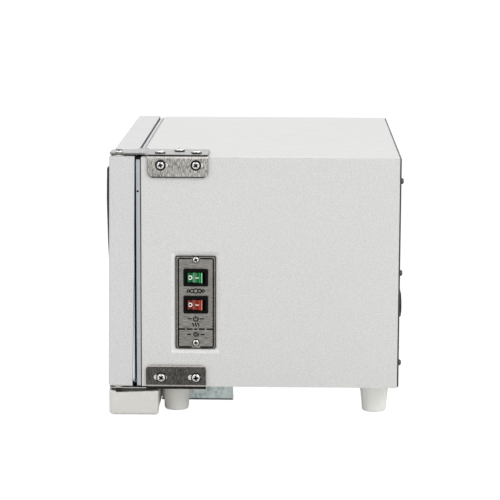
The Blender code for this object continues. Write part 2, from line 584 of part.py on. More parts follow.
# ---------------------------------------------------------------- hinge brackets: folded from flat blanks
def folded_bracket(name, plate_z, up, inner_x, y0, y1, tip_y, tongue_x, holes, slots, drop, joggle=0.0):
    """A hinge bracket. The blank is drawn flat, u across x, then its flange is bent along the case's corner.
    plate_z is the plate's middle; up is 1 if the flange turns up, -1 if it turns down; tip_y is the front of the
    tongue that holds the pin; drop is the flange's straight length; joggle is how far the tongue steps up from the plate."""
    t, ri = BRACKET_T, BRACKET_RI
    outer_x = HALF + GAP + t
    bend_u = outer_x - t - ri                  # where the bend starts
    arc = (ri + t / 2) * math.pi / 2
    edge_u = bend_u + arc + drop
    blank = fillet(
        [
            (tongue_x[0], tip_y, 7.0), (tongue_x[1], tip_y, 4.0), (tongue_x[1], y0, 0.0), (edge_u, y0, 4.0),
            (edge_u, y1, 4.0), (inner_x, y1, 4.0), (inner_x, y0 - 6.0, 4.0), (tongue_x[0], y0 - 12.0, 4.0),
        ],
        4,
    )
    outlines = [blank] + [ring(x, y, r, 12) for x, y, r in holes]
    slot_u = bend_u + arc + drop - slots[2]
    for centre in slots[0]:
        outlines.append([(slot_u + v, u) for u, v in slot(centre - slots[1] / 2, centre + slots[1] / 2, 0.0, 2.3, 4)])
    made = meshed(plate(name, outlines, "z", plate_z - t / 2, t, "stainless"))
    bm = bmesh.new()
    bm.from_mesh(made.data)
    steps = 3
    for k in range(steps + 1):
        bmesh.ops.bisect_plane(
            bm, geom=[*bm.verts, *bm.edges, *bm.faces], plane_co=((bend_u + arc * k / steps) * MM, 0, 0), plane_no=(1, 0, 0), dist=1e-7,
        )
    for v in bm.verts:
        s = v.co.x / MM - bend_u
        if s <= 1e-4:
            continue
        w = -up * v.co.z / MM
        rho = ri + t / 2 + w
        a = min(s / arc, 1.0) * math.pi / 2
        v.co.x = (bend_u + rho * math.sin(a)) * MM
        v.co.z = -up * (-(t / 2 + ri) + rho * math.cos(a) - max(s - arc, 0.0)) * MM
    if joggle:
        near, far = y0 - 5.4, y0 - 1.4
        for y in (near, far):
            bmesh.ops.bisect_plane(bm, geom=[*bm.verts, *bm.edges, *bm.faces], plane_co=(0, y * MM, 0), plane_no=(0, 1, 0), dist=1e-7)
        for v in bm.verts:
            v.co.z += joggle * min(max((far - v.co.y / MM) / (far - near), 0.0), 1.0) * MM
    bmesh.ops.recalc_face_normals(bm, faces=bm.faces)
    bm.to_mesh(made.data)
    bm.free()
    smooth(made, 35)
    return made


TOP_PLATE_Z = Z1 + GAP + BRACKET_T / 2
BOTTOM_PLATE_Z = Z0 - GAP - BRACKET_STEP - BRACKET_T / 2
PIN_HOLE_TOP, PIN_HOLE_BOTTOM = (
    (PIVOT_X, PIVOT_Y + (z - PIVOT_Z) * math.tan(math.radians(LEAN)), PIN_R + 0.3) for z in (TOP_PLATE_Z + BRACKET_STEP, BOTTOM_PLATE_Z)
)
folded_bracket(
    "top_hinge_bracket", TOP_PLATE_Z, -1, HALF - 39.5, 33.0, 83.6, 1.1, (HALF - 28.0, HALF - 0.6),
    [PIN_HOLE_TOP, *[(x, y, 2.2) for x, y in TOP_SCREWS]], ([SCREW_Y[0] + 0.8, SCREW_Y[1] + 0.8], 10.0, 10.3), 16.9, BRACKET_STEP,
)
folded_bracket(
    "bottom_hinge_bracket", BOTTOM_PLATE_Z, 1, HALF - 16.0, 31.1, 81.8, -0.3, (HALF - 18.0, HALF - 0.6),
    [PIN_HOLE_BOTTOM, *[(x, y, 2.2) for x, y in UNDER_SCREWS]], ([SCREW_Y[0] - 0.8, SCREW_Y[1] - 1.2], 11.5, 10.7), 18.5 + BRACKET_STEP,
)

side_x = HALF + GAP + BRACKET_T + GAP
for place_name, spots in (("top", SIDE_SCREWS_TOP), ("bottom", SIDE_SCREWS_BOTTOM)):
    for label, (y, z) in zip(("front", "rear"), spots):
        screw(f"{place_name}_bracket_side_screw_{label}", (side_x, y, z), "+x", 4.4, 2.0, 1.8, 8.5)
for label, (x, y) in zip(("front", "middle", "rear"), TOP_SCREWS):
    screw(f"top_bracket_screw_{label}", (x, y, TOP_PLATE_Z + BRACKET_T / 2 + GAP), "+z", 4.6, 2.0, 1.8, 7.5)
for label, (x, y) in zip(("front", "rear"), UNDER_SCREWS):
    screw(f"bottom_bracket_screw_{label}", (x, y, BOTTOM_PLATE_Z - BRACKET_T / 2 - GAP), "-z", 3.2, 0.8, 1.8, 7.0 + BRACKET_STEP)

for label, z, facing, head in (
    ("top", TOP_PLATE_Z + BRACKET_STEP + BRACKET_T / 2 + GAP, "+z", 2.2),
    ("bottom", BOTTOM_PLATE_Z - BRACKET_T / 2 - GAP, "-z", 0.6),
):
    turned(
        f"{label}_hinge_pin", [(0, head), (1.9, head * 0.95), (3.2, head * 0.6), (3.6, 0), (PIN_R, 0), (PIN_R, -13), (0, -13)], (PIVOT_X, PIVOT_Y, z), facing, "screw_steel", 16, hinge_line,
    )

# ---------------------------------------------------------------- door
door_shell = box(
    "door_shell", (-HALF, HALF), (0, DOOR_T), (DOOR_Z0, DOOR_Z1), "white_paint", bevel=2.0, segments=3,
    edges=lambda a, b: a.y < 0 and b.y < 0 or abs(a.y - b.y) > 10, holder=door_axis,
)
chamfer(door_shell, 0.6, lambda a, b: min(a.y, b.y) > DOOR_T / 2 - 0.01)
cut(door_shell, box("door_space", (-HALF + SHEET, HALF - SHEET), (SHEET, DOOR_T + 5), (DOOR_Z0 + SHEET, DOOR_Z1 - SHEET), holder=door_axis, helper=True))
cut(door_shell, pegs("bush_holes", [("z", (PIVOT_X, PIVOT_Y, z), 3.6, 6) for z in (DOOR_Z0, DOOR_Z1)], door_axis))

FIELD_X, FIELD_Z = (OPEN_X0 + 6, OPEN_X1 - 6), (OPEN_Z0 + 6, OPEN_Z1 - 6)
door_liner = box("door_liner", (-HALF + SHEET + GAP, HALF - SHEET - GAP), (DOOR_LINER_Y - SHEET, DOOR_LINER_Y), (DOOR_Z0 + SHEET + GAP, DOOR_Z1 - SHEET - GAP), "aluminium", holder=door_axis)
cut(door_liner, box("field", FIELD_X, (DOOR_LINER_Y - 0.5, 25.4), FIELD_Z, bevel=3.0, segments=2, edges=lambda a, b: a.y > 0 and b.y > 0 or abs(a.y - b.y) > 2, holder=door_axis, helper=True), "UNION")
cut(door_liner, box("field_back", (FIELD_X[0] + 1, FIELD_X[1] - 1), (DOOR_LINER_Y - 5, 24.4), (FIELD_Z[0] + 1, FIELD_Z[1] - 1), bevel=2.0, segments=2, edges=lambda a, b: a.y > 0 and b.y > 0, holder=door_axis, helper=True))
box("door_insulation", (-161, 141), (SHEET + 0.4, DOOR_LINER_Y - SHEET - 0.4), (DOOR_Z0 + 3, DOOR_Z1 - 3), "foam", holder=door_axis)
GASKET = (163.4, Z0 + 2.6, Z1 - 2.6)
door_gasket = meshed(
    plate(
        "door_gasket",
        [rounded(-GASKET[0], GASKET[0], GASKET[1], GASKET[2], 6.0, 4), rounded(-GASKET[0] + 7, GASKET[0] - 7, GASKET[1] + 7, GASKET[2] - 7, 3.0, 3)],
        "y", DOOR_LINER_Y + GAP, 4.2, "gasket_rubber", door_axis,
    )
)
# The seal is pressed flat against the upright frame, so it is thicker at the foot of the leaning door.
cut(door_gasket, box("frame_face", (-HALF, HALF), (FRAME_Y0 - 0.6, FRAME_Y0 + 6), (Z0, Z1), helper=True))
box("catch_plate", (-153.4, -144.4), (DOOR_LINER_Y + GAP, 22.1), (Z0 + 82.0, Z0 + 114.0), "galvanised", holder=door_axis)
for label, edge, s in (("top", DOOR_Z1, 1), ("bottom", DOOR_Z0, -1)):
    turned(
        f"{label}_hinge_bush",
        [(PIN_R + 0.12, 0.65), (4.4, 0.65), (4.4, 0.2), (3.3, 0.2), (3.3, -9.0), (PIN_R + 0.12, -9.0)], (PIVOT_X, PIVOT_Y, edge), "+z" if s > 0 else "-z", "nylon", 16, door_axis, closed=True,
    )
plate(
    "door_handle",
    [fillet(
        [
            (-GAP, HANDLE_Z1, 1.5), (-HANDLE_OUT, HANDLE_Z1, 2.4), (-HANDLE_OUT_LOW, HANDLE_Z0, 9.0), (-GAP, HANDLE_Z0, 1.5),
            (-GAP, HANDLE_Z0 + 10, 1.5), (-HANDLE_OUT_LOW + 8, HANDLE_Z0 + 10, 5.0), (-HANDLE_OUT + 8, HANDLE_Z1 - 10, 5.0), (-GAP, HANDLE_Z1 - 10, 1.5),
        ],
        4,
    )],
    "x", HANDLE_X - 7.0, 14.0, "black_plastic", door_axis,
)

# ---------------------------------------------------------------- feet, drip tray and its rails
for label, x, y in [(f"{a}_{b}", s * FOOT_X, y) for a, y in zip(("front", "rear"), FOOT_Y) for b, s in (("left", -1), ("right", 1))]:
    top = FOOT_H - GAP
    turned(
        f"foot_{label}",
        [(0, top + 6), (2.6, top + 6), (2.6, top), (12.8, top), (11.85, 15.0), (11.2, 8.0), (10.8, 3.4), (10.3, 1.0), (9.4, 0), (0, 0)], (x, y, 0), "+z", "foot_rubber", 20,
    )

hollow = lambda a, b: abs(a.z - b.z) > 5 or (a.z < 0 and b.z < 0)
tray = box("drip_tray", (-TRAY_X, TRAY_X), (TRAY_Y0, TRAY_Y1), (TRAY_Z0, TRAY_Z1), "white_plastic", bevel=4.0, segments=3, edges=hollow, holder=tray_axis)
cut(tray, box("trough", (-TRAY_X + 2, TRAY_X - 2), (TRAY_Y0 + 2, TRAY_Y1 - 2), (TRAY_Z0 + 2, TRAY_Z1 + 6), bevel=3.0, segments=2, edges=hollow, helper=True))
for side, s in (("left", -1), ("right", 1)):
    xs = sorted((s * (RAIL_X - 13.5), s * (RAIL_X - 1.6)))
    cut(tray, box(f"tray_arm_{side}", xs, (TRAY_Y1 - 1, 100.0), (6.4, 9.4), helper=True), "UNION")
    x = [s * (RAIL_X - d) for d in (0, 1, 15)]
    z = (3.6, 4.6, Z0 - GAP - 1, Z0 - GAP)
    plate(
        f"tray_rail_{side}",
        [[(x[0], z[0]), (x[2], z[0]), (x[2], z[1]), (x[1], z[1]), (x[1], z[2]), (x[2], z[2]), (x[2], z[3]), (x[0], z[3])]],
        "y", RAIL_Y0, RAIL_Y1 - RAIL_Y0, "galvanised",
    )
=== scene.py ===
import math

import bmesh
import bpy
from mathutils import Matrix, Vector


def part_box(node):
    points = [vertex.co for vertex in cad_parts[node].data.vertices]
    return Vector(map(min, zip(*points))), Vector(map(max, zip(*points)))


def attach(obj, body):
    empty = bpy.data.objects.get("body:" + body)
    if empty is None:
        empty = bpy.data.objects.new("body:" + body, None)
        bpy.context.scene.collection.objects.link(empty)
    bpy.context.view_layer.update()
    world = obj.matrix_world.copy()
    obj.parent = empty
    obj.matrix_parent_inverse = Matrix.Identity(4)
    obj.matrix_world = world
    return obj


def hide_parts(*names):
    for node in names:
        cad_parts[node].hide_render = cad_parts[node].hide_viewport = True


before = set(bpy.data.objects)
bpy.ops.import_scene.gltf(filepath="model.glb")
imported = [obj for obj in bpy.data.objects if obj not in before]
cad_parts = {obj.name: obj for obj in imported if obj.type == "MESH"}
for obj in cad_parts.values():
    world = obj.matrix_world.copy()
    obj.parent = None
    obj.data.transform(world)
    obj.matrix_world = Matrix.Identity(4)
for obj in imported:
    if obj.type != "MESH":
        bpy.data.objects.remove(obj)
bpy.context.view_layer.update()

# Looks of a countertop hot towel cabinet. Shapes are drawn in millimetres in the cabinet's own frame:
# x across the width (hinge and control side +x), y from the door's face to the back, z up from the worktop.
MM = 0.001
scene = bpy.context.scene
case_lo, case_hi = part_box("outer_case")
SHIFT = Vector(((case_lo.x + case_hi.x) / 2, case_lo.y - 27.3 * MM, 0.0))
TO_ROW = Matrix.Translation(SHIFT) @ Matrix.Scale(MM, 4)


def at(x, y, z):
    return Vector((x, y, z)) * MM + SHIFT


SWITCH_Y = 73.2
OZONE_Z, POWER_Z = 119.7, 96.4


def srgb(r, g, b):
    out = []
    for c in (r, g, b):
        c /= 255.0
        out.append(c / 12.92 if c <= 0.04045 else ((c + 0.055) / 1.055) ** 2.4)
    return (*out, 1.0)


# ------------------------------------------------------------------------------------------ materials
class Finish:
    """A Principled material and the few node chains that its detail is made of."""

    def __init__(self, name, colour, rough, metal=0.0, **sockets):
        self.made = bpy.data.materials.new(name)
        self.made.use_nodes = True
        self.made.diffuse_color = colour
        self.tree = self.made.node_tree
        self.shader = self.tree.nodes["Principled BSDF"]
        self.set("Base Color", colour)
        self.set("Roughness", rough)
        self.set("Metallic", metal)
        for key, value in sockets.items():
            self.set(key.replace("_", " "), value)
        self.where = self.tree.nodes.new("ShaderNodeTexCoord").outputs["Object"]

    def set(self, socket, value):
        self.shader.inputs[socket].default_value = value

    def feed(self, socket, output):
        self.tree.links.new(output, self.shader.inputs[socket])

    def node(self, kind, links=(), **values):
        made = self.tree.nodes.new(kind)
        for key, value in values.items():
            setattr(made, key, value)
        for socket, output in links:
            if hasattr(output, "is_output"):
                self.tree.links.new(output, made.inputs[socket])
            else:
                made.inputs[socket].default_value = output
        return made

    def stretch(self, x, y, z, vector=None):
        """Object coordinates in metres, scaled along each axis."""
        return self.node("ShaderNodeVectorMath", [(0, vector or self.where), (1, (x, y, z))], operation="MULTIPLY").outputs[0]

    def noise(self, vector, scale=1.0, detail=2.0, rough=0.5, twist=0.0):
        made = self.node("ShaderNodeTexNoise", [("Vector", vector), ("Scale", scale), ("Detail", detail), ("Roughness", rough), ("Distortion", twist)])
        return made.outputs["Fac"]

    def cells(self, vector, scale, feature="F1", output="Color"):
        made = self.node("ShaderNodeTexVoronoi", [("Vector", vector), ("Scale", scale)], feature=feature)
        return made.outputs[output]

    def span(self, value, low, high, a, b):
        made = self.node("ShaderNodeMapRange", [("Value", value), ("From Min", low), ("From Max", high), ("To Min", a), ("To Max", b)])
        return made.outputs["Result"]

    def math(self, kind, a, b=0.0):
        return self.node("ShaderNodeMath", [(0, a), (1, b)], operation=kind).outputs[0]

    def blend(self, factor, a, b):
        made = self.node("ShaderNodeMix", data_type="RGBA")
        for k, v in ((0, factor), (6, a), (7, b)):
            if hasattr(v, "is_output"):
                self.tree.links.new(v, made.inputs[k])
            else:
                made.inputs[k].default_value = v
        return made.outputs[2]

    def bump(self, height, strength, depth, normal=None):
        links = [("Height", height), ("Strength", strength), ("Distance", depth)]
        if normal is not None:
            links.append(("Normal", normal))
        return self.node("ShaderNodeBump", links).outputs["Normal"]


def shade(colour, k):
    return (colour[0] * k, colour[1] * k, colour[2] * k, 1.0)


def painted(name, colour, rough=0.42, peel=0.16, drift=0.008, grain=0.14):
    """Baked powder coat: fine orange peel, and a slow drift of tone and gloss."""
    f = Finish(name, colour, rough)
    slow = f.span(f.noise(f.where, 7.0, 3.0), 0.3, 0.7, -drift, drift)
    fine = f.span(f.noise(f.where, 1000.0, 2.0, 0.6), 0.25, 0.75, -grain, grain)
    tone = f.span(f.math("ADD", slow, fine), -0.14, 0.14, 0.0, 1.0)
    f.feed("Base Color", f.blend(tone, shade(colour, 0.86), shade(colour, 1.14)))
    f.feed("Roughness", f.span(f.noise(f.where, 55.0, 3.0), 0.3, 0.7, rough - 0.05, rough + 0.06))
    fine = f.bump(f.noise(f.where, 950.0, 2.0), peel, 0.00010)
    f.feed("Normal", f.bump(f.noise(f.where, 210.0, 1.0), peel * 0.5, 0.00022, fine))
    return f.made


def brushed(name, colour, rough, across, along, contrast=0.16, cloud=0.06, depth=0.00003, metal=1.0, wide=0.6):
    """Brushed sheet: fine streaks, and a share of wide ones. across and along give the two coordinates as (x, y, z) weights per metre."""
    f = Finish(name, colour, rough, metal)
    split = f.node("ShaderNodeSeparateXYZ", [(0, f.where)]).outputs

    def weighed(w):
        parts = [f.math("MULTIPLY", split[i], w[i]) for i in range(3) if w[i]]
        total = parts[0]
        for extra in parts[1:]:
            total = f.math("ADD", total, extra)
        return total

    grain = f.node("ShaderNodeCombineXYZ", [(0, weighed(across)), (1, weighed(along))]).outputs[0]
    streak = f.noise(grain, 1.0, 3.0, 0.6)
    broad = f.noise(f.stretch(0.28, 0.35, 1.0, grain), 1.0, 2.0, 0.5)
    mottle = f.noise(f.where, 70.0, 2.0)
    mixed = f.math("ADD", f.span(streak, 0.25, 0.75, -contrast, contrast), f.span(broad, 0.3, 0.7, -contrast * wide, contrast * wide))
    mixed = f.math("ADD", mixed, f.span(mottle, 0.3, 0.7, -cloud, cloud))
    f.feed("Base Color", f.blend(f.span(mixed, -0.5, 0.5, 0.0, 1.0), shade(colour, 0.5), shade(colour, 1.5)))
    f.feed("Roughness", f.span(streak, 0.25, 0.75, rough - 0.08, rough + 0.10))
    f.feed("Normal", f.bump(streak, 0.35, depth))
    return f.made


def moulded(name, colour, rough, grain=1300.0, strength=0.12, drift=0.03, **sockets):
    """Moulded plastic or rubber: a fine eroded grain and slight tone drift."""
    f = Finish(name, colour, rough, **sockets)
    tone = f.span(f.noise(f.where, 24.0, 3.0), 0.3, 0.7, 0.0, 1.0)
    f.feed("Base Color", f.blend(tone, shade(colour, 1 - drift), shade(colour, 1 + drift)))
    f.feed("Roughness", f.span(f.noise(f.where, 260.0, 2.0), 0.3, 0.7, max(rough - 0.07, 0.02), rough + 0.07))
    f.feed("Normal", f.bump(f.noise(f.where, grain, 3.0, 0.6), strength, 0.00008))
    return f.made


def turned_steel(name, colour, rough):
    """Plated steel: faint turning marks round the local axis, and a little tarnish."""
    f = Finish(name, colour, rough, 1.0)
    ring = f.node("ShaderNodeTexWave", [("Vector", f.where), ("Scale", 900.0), ("Distortion", 1.5), ("Detail", 2.0)], wave_type="RINGS", rings_direction="Z").outputs["Fac"]
    stain = f.span(f.noise(f.where, 420.0, 3.0), 0.3, 0.75, 0.0, 1.0)
    f.feed("Base Color", f.blend(stain, shade(colour, 1.06), shade(colour, 0.82)))
    f.feed("Roughness", f.span(stain, 0.0, 1.0, rough - 0.05, rough + 0.12))
    f.feed("Normal", f.bump(ring, 0.08, 0.00004))
    return f.made


def galvanised(name, colour):
    """Zinc coating: spangle crystals in slightly different greys, with a cloudy bloom."""
    f = Finish(name, colour, 0.42, 0.12)
    wobble = f.noise(f.where, 160.0, 2.0)
    bent = f.node("ShaderNodeVectorMath", [(0, f.where), (1, f.node("ShaderNodeVectorMath", [(0, wobble), (1, (0.004, 0.004, 0.004))], operation="MULTIPLY").outputs[0])], operation="ADD").outputs[0]
    cell = f.node("ShaderNodeSeparateColor", [(0, f.cells(bent, 460.0))]).outputs
    bloom = f.noise(f.where, 90.0, 3.0)
    tone = f.math("ADD", f.span(cell[0], 0.0, 1.0, 0.0, 0.62), f.span(bloom, 0.3, 0.7, 0.0, 0.38))
    f.feed("Base Color", f.blend(tone, (colour[0] * 0.62, colour[1] * 0.66, colour[2] * 0.68, 1), (colour[0] * 1.30, colour[1] * 1.27, colour[2] * 1.24, 1)))
    f.feed("Roughness", f.span(cell[1], 0.0, 1.0, 0.34, 0.56))
    f.feed("Normal", f.bump(bloom, 0.10, 0.0001))
    return f.made


def lens(name, body, zones):
    """Tinted clear rocker, with light painted into its tint: painted shade on the pressed half, a paler middle band of
    painted reflection, and a painted highlight and dark groove line before its raised end.
    zones gives its tint at distances along it in millimetres. Ribs moulded on its underside show through as soft bands."""
    f = Finish(name, body, 0.12, 0.0, IOR=1.5, Specular_IOR_Level=0.22, Coat_Weight=0.08, Coat_Roughness=0.06)
    split = f.node("ShaderNodeSeparateXYZ", [(0, f.where)]).outputs
    middle = at(0, SWITCH_Y, 0).y
    along = f.math("MULTIPLY", f.math("SUBTRACT", split[1], middle), 1000.0)
    rib = f.math("SINE", f.math("MULTIPLY", along, 2 * math.pi / 1.3))
    cloud = f.noise(f.where, 620.0, 3.0)
    ramp = f.node("ShaderNodeValToRGB", [(0, f.span(along, -7.0, 7.0, 0.0, 1.0))])
    band = ramp.color_ramp.elements
    for stop, (where, tint) in zip((band[0], band[-1]), (zones[0], zones[-1])):
        stop.position, stop.color = (where + 7.0) / 14.0, srgb(*tint)
    for where, tint in zones[1:-1]:
        band.new((where + 7.0) / 14.0).color = srgb(*tint)
    tone = f.math("ADD", f.span(rib, -1.0, 1.0, 0.0, 0.35), f.span(cloud, 0.3, 0.7, 0.0, 0.65))
    f.feed("Base Color", f.blend(f.math("MULTIPLY", tone, 0.12), ramp.outputs[0], body))
    f.feed("Roughness", f.span(cloud, 0.3, 0.7, 0.08, 0.2))
    f.feed("Normal", f.bump(cloud, 0.05, 0.0001))
    return f.made


def fibre(name, colour, scale=700.0, strength=0.6):
    """Foam or felt: open cells and strands."""
    f = Finish(name, colour, 0.9)
    cell = f.cells(f.where, scale, "F1", "Distance")
    tuft = f.noise(f.where, 120.0, 4.0, 0.6)
    f.feed("Base Color", f.blend(f.span(tuft, 0.3, 0.7, 0.0, 1.0), shade(colour, 0.82), shade(colour, 1.08)))
    f.feed("Roughness", f.span(cell, 0.0, 0.6, 0.8, 0.98))
    f.feed("Normal", f.bump(cell, strength, 0.0004))
    return f.made


def woven(name, colour):
    """Glass-cloth reinforced silicone: a fine plain weave under a rubber skin."""
    f = Finish(name, colour, 0.55)
    split = f.node("ShaderNodeSeparateXYZ", [(0, f.where)]).outputs
    warp = f.math("SINE", f.math("MULTIPLY", split[0], 2 * math.pi / 0.0011))
    weft = f.math("SINE", f.math("MULTIPLY", split[1], 2 * math.pi / 0.0011))
    weave = f.math("MULTIPLY", warp, weft)
    f.feed("Base Color", f.blend(f.span(f.noise(f.where, 60.0, 3.0), 0.3, 0.7, 0.0, 1.0), shade(colour, 0.85), shade(colour, 1.1)))
    f.feed("Roughness", f.span(weave, -1.0, 1.0, 0.48, 0.64))
    f.feed("Normal", f.bump(weave, 0.4, 0.00012))
    return f.made


WHITE = srgb(214, 214, 212)
paint = painted("white_powder_coat", WHITE)
# a brighter copy of the white paint for the recess slopes, a painted highlight
slope_painted_highlight = painted("white_powder_coat_slope_painted_highlight", srgb(231, 231, 229))
door_paint = painted("white_powder_coat_door", srgb(211, 211, 211), 0.50)
rear_coat = painted("dark_rear_coat", srgb(62, 63, 65), 0.5)
frame_paint = painted("cool_grey_coat", srgb(181, 186, 192), 0.24)
# a paler copy of the frame coat for its top faces, a painted highlight
frame_painted_highlight = painted("frame_coat_painted_highlight", srgb(203, 206, 209), 0.34)
# the streaks of a folded bracket run with its fold: along x on the plate, along z on the flange
steel_bracket = brushed("brushed_stainless", (0.475, 0.46, 0.43, 1), 0.30, (0, 1350.0, 0), (300.0, 0, -300.0), 1.10, 0.14, wide=0.15)
# a darker copy of the bracket steel for the whole bottom bracket, a painted shade
steel_bracket_painted_shade = brushed("brushed_stainless_painted_shade", (0.100, 0.095, 0.089, 1), 0.33, (0, 1350.0, 0), (300.0, 0, -300.0), 1.00, 0.12, wide=0.15)
# a darker copy of the bracket steel for the top bracket's plate, a painted shade
steel_top_painted_shade = brushed("brushed_stainless_top_painted_shade", (0.37, 0.37, 0.375, 1), 0.32, (0, 1350.0, 0), (300.0, 0, -300.0), 0.5, 0.12, wide=0.15)
# a bright copy of the steel for the flange side of the top bracket's bend, a painted highlight
steel_bend_painted_highlight = brushed("bend_painted_highlight", (0.82, 0.80, 0.765, 1), 0.30, (0, 800.0, 0), (120.0, 0, -120.0), 0.16, 0.08)
# a darker copy of the steel for the top tongue's sheared edge, a painted shade
steel_rim_painted_shade = brushed("sheared_edge_painted_shade", (0.36, 0.345, 0.33, 1), 0.34, (0, 800.0, 0), (120.0, 0, -120.0), 0.14, 0.08)
# a pale copy of the steel for the bottom bracket's bend, its flange's free edge and its tongue's edge, a painted
# highlight
steel_edge_painted_highlight = brushed("sheared_edge_painted_highlight", (0.55, 0.525, 0.50, 1), 0.30, (0, 800.0, 0), (120.0, 0, -120.0), 0.14, 0.08)
# a near-black copy of the steel for the plate side of the bends, the softened edges and the top flange's free edge:
# painted shade and painted dark reflection
steel_bend_painted_shade = brushed("bend_painted_shade", (0.030, 0.028, 0.026, 1), 0.30, (0, 800.0, 0), (120.0, 0, -120.0), 0.30, 0.10)
steel_plate = brushed("brushed_panel", (0.285, 0.273, 0.252, 1), 0.36, (0, 0, 2100.0), (0, 170.0, 0), 0.70, 0.08, wide=0.10)
screw_steel = turned_steel("plated_screw", (0.86, 0.85, 0.83, 1), 0.22)
# near-black for screw recesses, screw collars and pin crowns, a painted shade
screw_painted_shade = turned_steel("screw_recess_painted_shade", (0.022, 0.021, 0.021, 1), 0.40)
screw_dull = turned_steel("dull_screw", (0.12, 0.115, 0.11, 1), 0.45)
chrome_wire = turned_steel("plated_wire", (0.72, 0.72, 0.71, 1), 0.2)
zinc = galvanised("galvanised_sheet", (0.87, 0.955, 0.955, 1))
liner_sheet = brushed("dull_aluminium", (0.62, 0.63, 0.64, 1), 0.38, (500.0, 0, 500.0), (0, 30.0, 0), 0.10, 0.05)
door_sheet = brushed("dull_aluminium_door", (0.62, 0.63, 0.64, 1), 0.38, (700.0, 0, 0), (0, 0, 25.0), 0.10, 0.05)
tray_plastic = moulded("warm_white_plastic", srgb(218, 217, 212), 0.24, 900.0, 0.03, 0.02)
foot_plastic = moulded("foot_plastic", srgb(240, 239, 233), 0.5, 1100.0, 0.15, 0.02)
black_plastic = moulded("black_plastic", srgb(27, 27, 29), 0.38, 1500.0, 0.14, 0.10)
bezel_plastic = moulded("bezel_plastic", srgb(11, 11, 11), 0.40, 1800.0, 0.08, 0.10, Specular_IOR_Level=0.08)
white_ink = moulded("white_mark", srgb(236, 236, 232), 0.5, 2500.0, 0.06, 0.01)
black_ink = moulded("dark_ink", srgb(9, 9, 9), 0.6, 2500.0, 0.08, 0.08, Specular_IOR_Level=0.12)
# rocker tints with painted shade, painted reflection and painted highlight in zones along them
green_lens = lens("green_lens", srgb(24, 130, 72), [
    (-7.0, (16, 96, 52)), (-6.4, (26, 126, 70)), (-5.8, (26, 126, 70)), (-5.4, (14, 76, 40)), (-2.65, (12, 66, 34)), (-2.35, (96, 158, 116)),
    (-1.5, (92, 154, 112)), (-0.9, (76, 134, 96)), (1.0, (60, 116, 78)), (1.25, (12, 80, 42)), (2.6, (16, 76, 40)), (2.9, (36, 174, 98)),
    (3.55, (36, 174, 98)), (3.7, (0, 22, 10)), (4.45, (0, 22, 10)), (4.6, (114, 222, 152)), (5.4, (106, 202, 140)), (6.15, (86, 166, 114)), (6.3, (0, 17, 4)),
])
red_lens = lens("red_lens", srgb(170, 44, 26), [
    (-7.0, (112, 34, 28)), (-6.4, (150, 50, 42)), (-5.8, (150, 50, 42)), (-5.4, (66, 20, 14)), (-3.4, (78, 20, 14)), (-2.65, (112, 36, 26)), (-2.35, (154, 82, 68)),
    (-1.5, (146, 76, 62)), (-0.9, (128, 58, 46)), (1.0, (112, 36, 26)), (1.25, (92, 26, 18)), (2.6, (122, 24, 10)), (2.9, (210, 66, 34)),
    (3.55, (210, 66, 34)), (3.7, (50, 6, 1)), (4.45, (50, 6, 1)), (4.6, (230, 142, 116)), (5.4, (188, 102, 84)), (6.15, (154, 70, 60)), (6.3, (63, 6, 1)),
])
# near-black tints for the rockers' raised end faces, a painted shade
green_end_painted_shade = moulded("green_lens_end_painted_shade", srgb(0, 17, 6), 0.5, 1800.0, 0.06, 0.08, Specular_IOR_Level=0.0)
red_end_painted_shade = moulded("red_lens_end_painted_shade", srgb(58, 5, 2), 0.5, 1800.0, 0.06, 0.08, Specular_IOR_Level=0.0)
gasket_rubber = moulded("white_silicone", srgb(226, 233, 238), 0.62, 1600.0, 0.12, 0.015)
# near-black for the seal's root and lip and the door skin's rim, a painted shade in the door's gap
seal_lip_painted_shade = moulded("seal_painted_shade", srgb(22, 23, 25), 0.7, 1600.0, 0.12, 0.05, Specular_IOR_Level=0.15)
foam = fibre("insulation_foam", srgb(229, 224, 205))
mat_silicone = woven("heater_silicone", srgb(206, 104, 48))
lead_silicone = moulded("lead_silicone", srgb(206, 104, 48), 0.5, 1200.0, 0.10, 0.05)
cable_sheath = moulded("cable_sheath", srgb(40, 40, 42), 0.5, 1200.0, 0.10, 0.06)
nylon = moulded("natural_nylon", srgb(238, 236, 226), 0.45, 1100.0, 0.08, 0.02)
phenolic = moulded("brown_phenolic", srgb(82, 56, 40), 0.42, 700.0, 0.10, 0.18)
ferrite = moulded("ferrite", srgb(60, 60, 63), 0.55, 900.0, 0.25, 0.12)
casing_plastic = moulded("casing_plastic", srgb(232, 232, 228), 0.42, 1000.0, 0.10, 0.02)
nickel = turned_steel("nickel_pin", (0.66, 0.63, 0.56, 1), 0.25)


# The hinge line leans: the slotted brackets are set so that the door's foot stands forward.
PIVOT = (160.0, 8.0)
LEAN = math.radians(0.55)
HINGE_LEAN = Matrix.Translation((0, PIVOT[1], 124.0)) @ Matrix.Rotation(-LEAN, 4, "X") @ Matrix.Translation((0, -PIVOT[1], -124.0))


# ------------------------------------------------------------------------------------------ shape helpers
def fillet(points, arc=6, closed=True):
    """An outline from (u, v, radius) corners, each rounded to its radius."""
    out = []
    count = len(points)
    for i, (u, v, radius) in enumerate(points):
        here = Vector((u, v))
        if radius <= 0 or (not closed and i in (0, count - 1)):
            out.append((u, v))
            continue
        before = (Vector(points[i - 1][:2]) - here).normalized()
        after = (Vector(points[(i + 1) % count][:2]) - here).normalized()
        half = before.angle(after) / 2
        reach = radius / math.tan(half)
        centre = here + (before + after).normalized() * (radius / math.sin(half))
        start, end = here + before * reach - centre, here + after * reach - centre
        a0 = math.atan2(start.y, start.x)
        turn = (math.atan2(end.y, end.x) - a0 + math.pi) % (2 * math.pi) - math.pi
        for k in range(arc + 1):
            a = a0 + turn * k / arc
            out.append((centre.x + radius * math.cos(a), centre.y + radius * math.sin(a)))
    return out


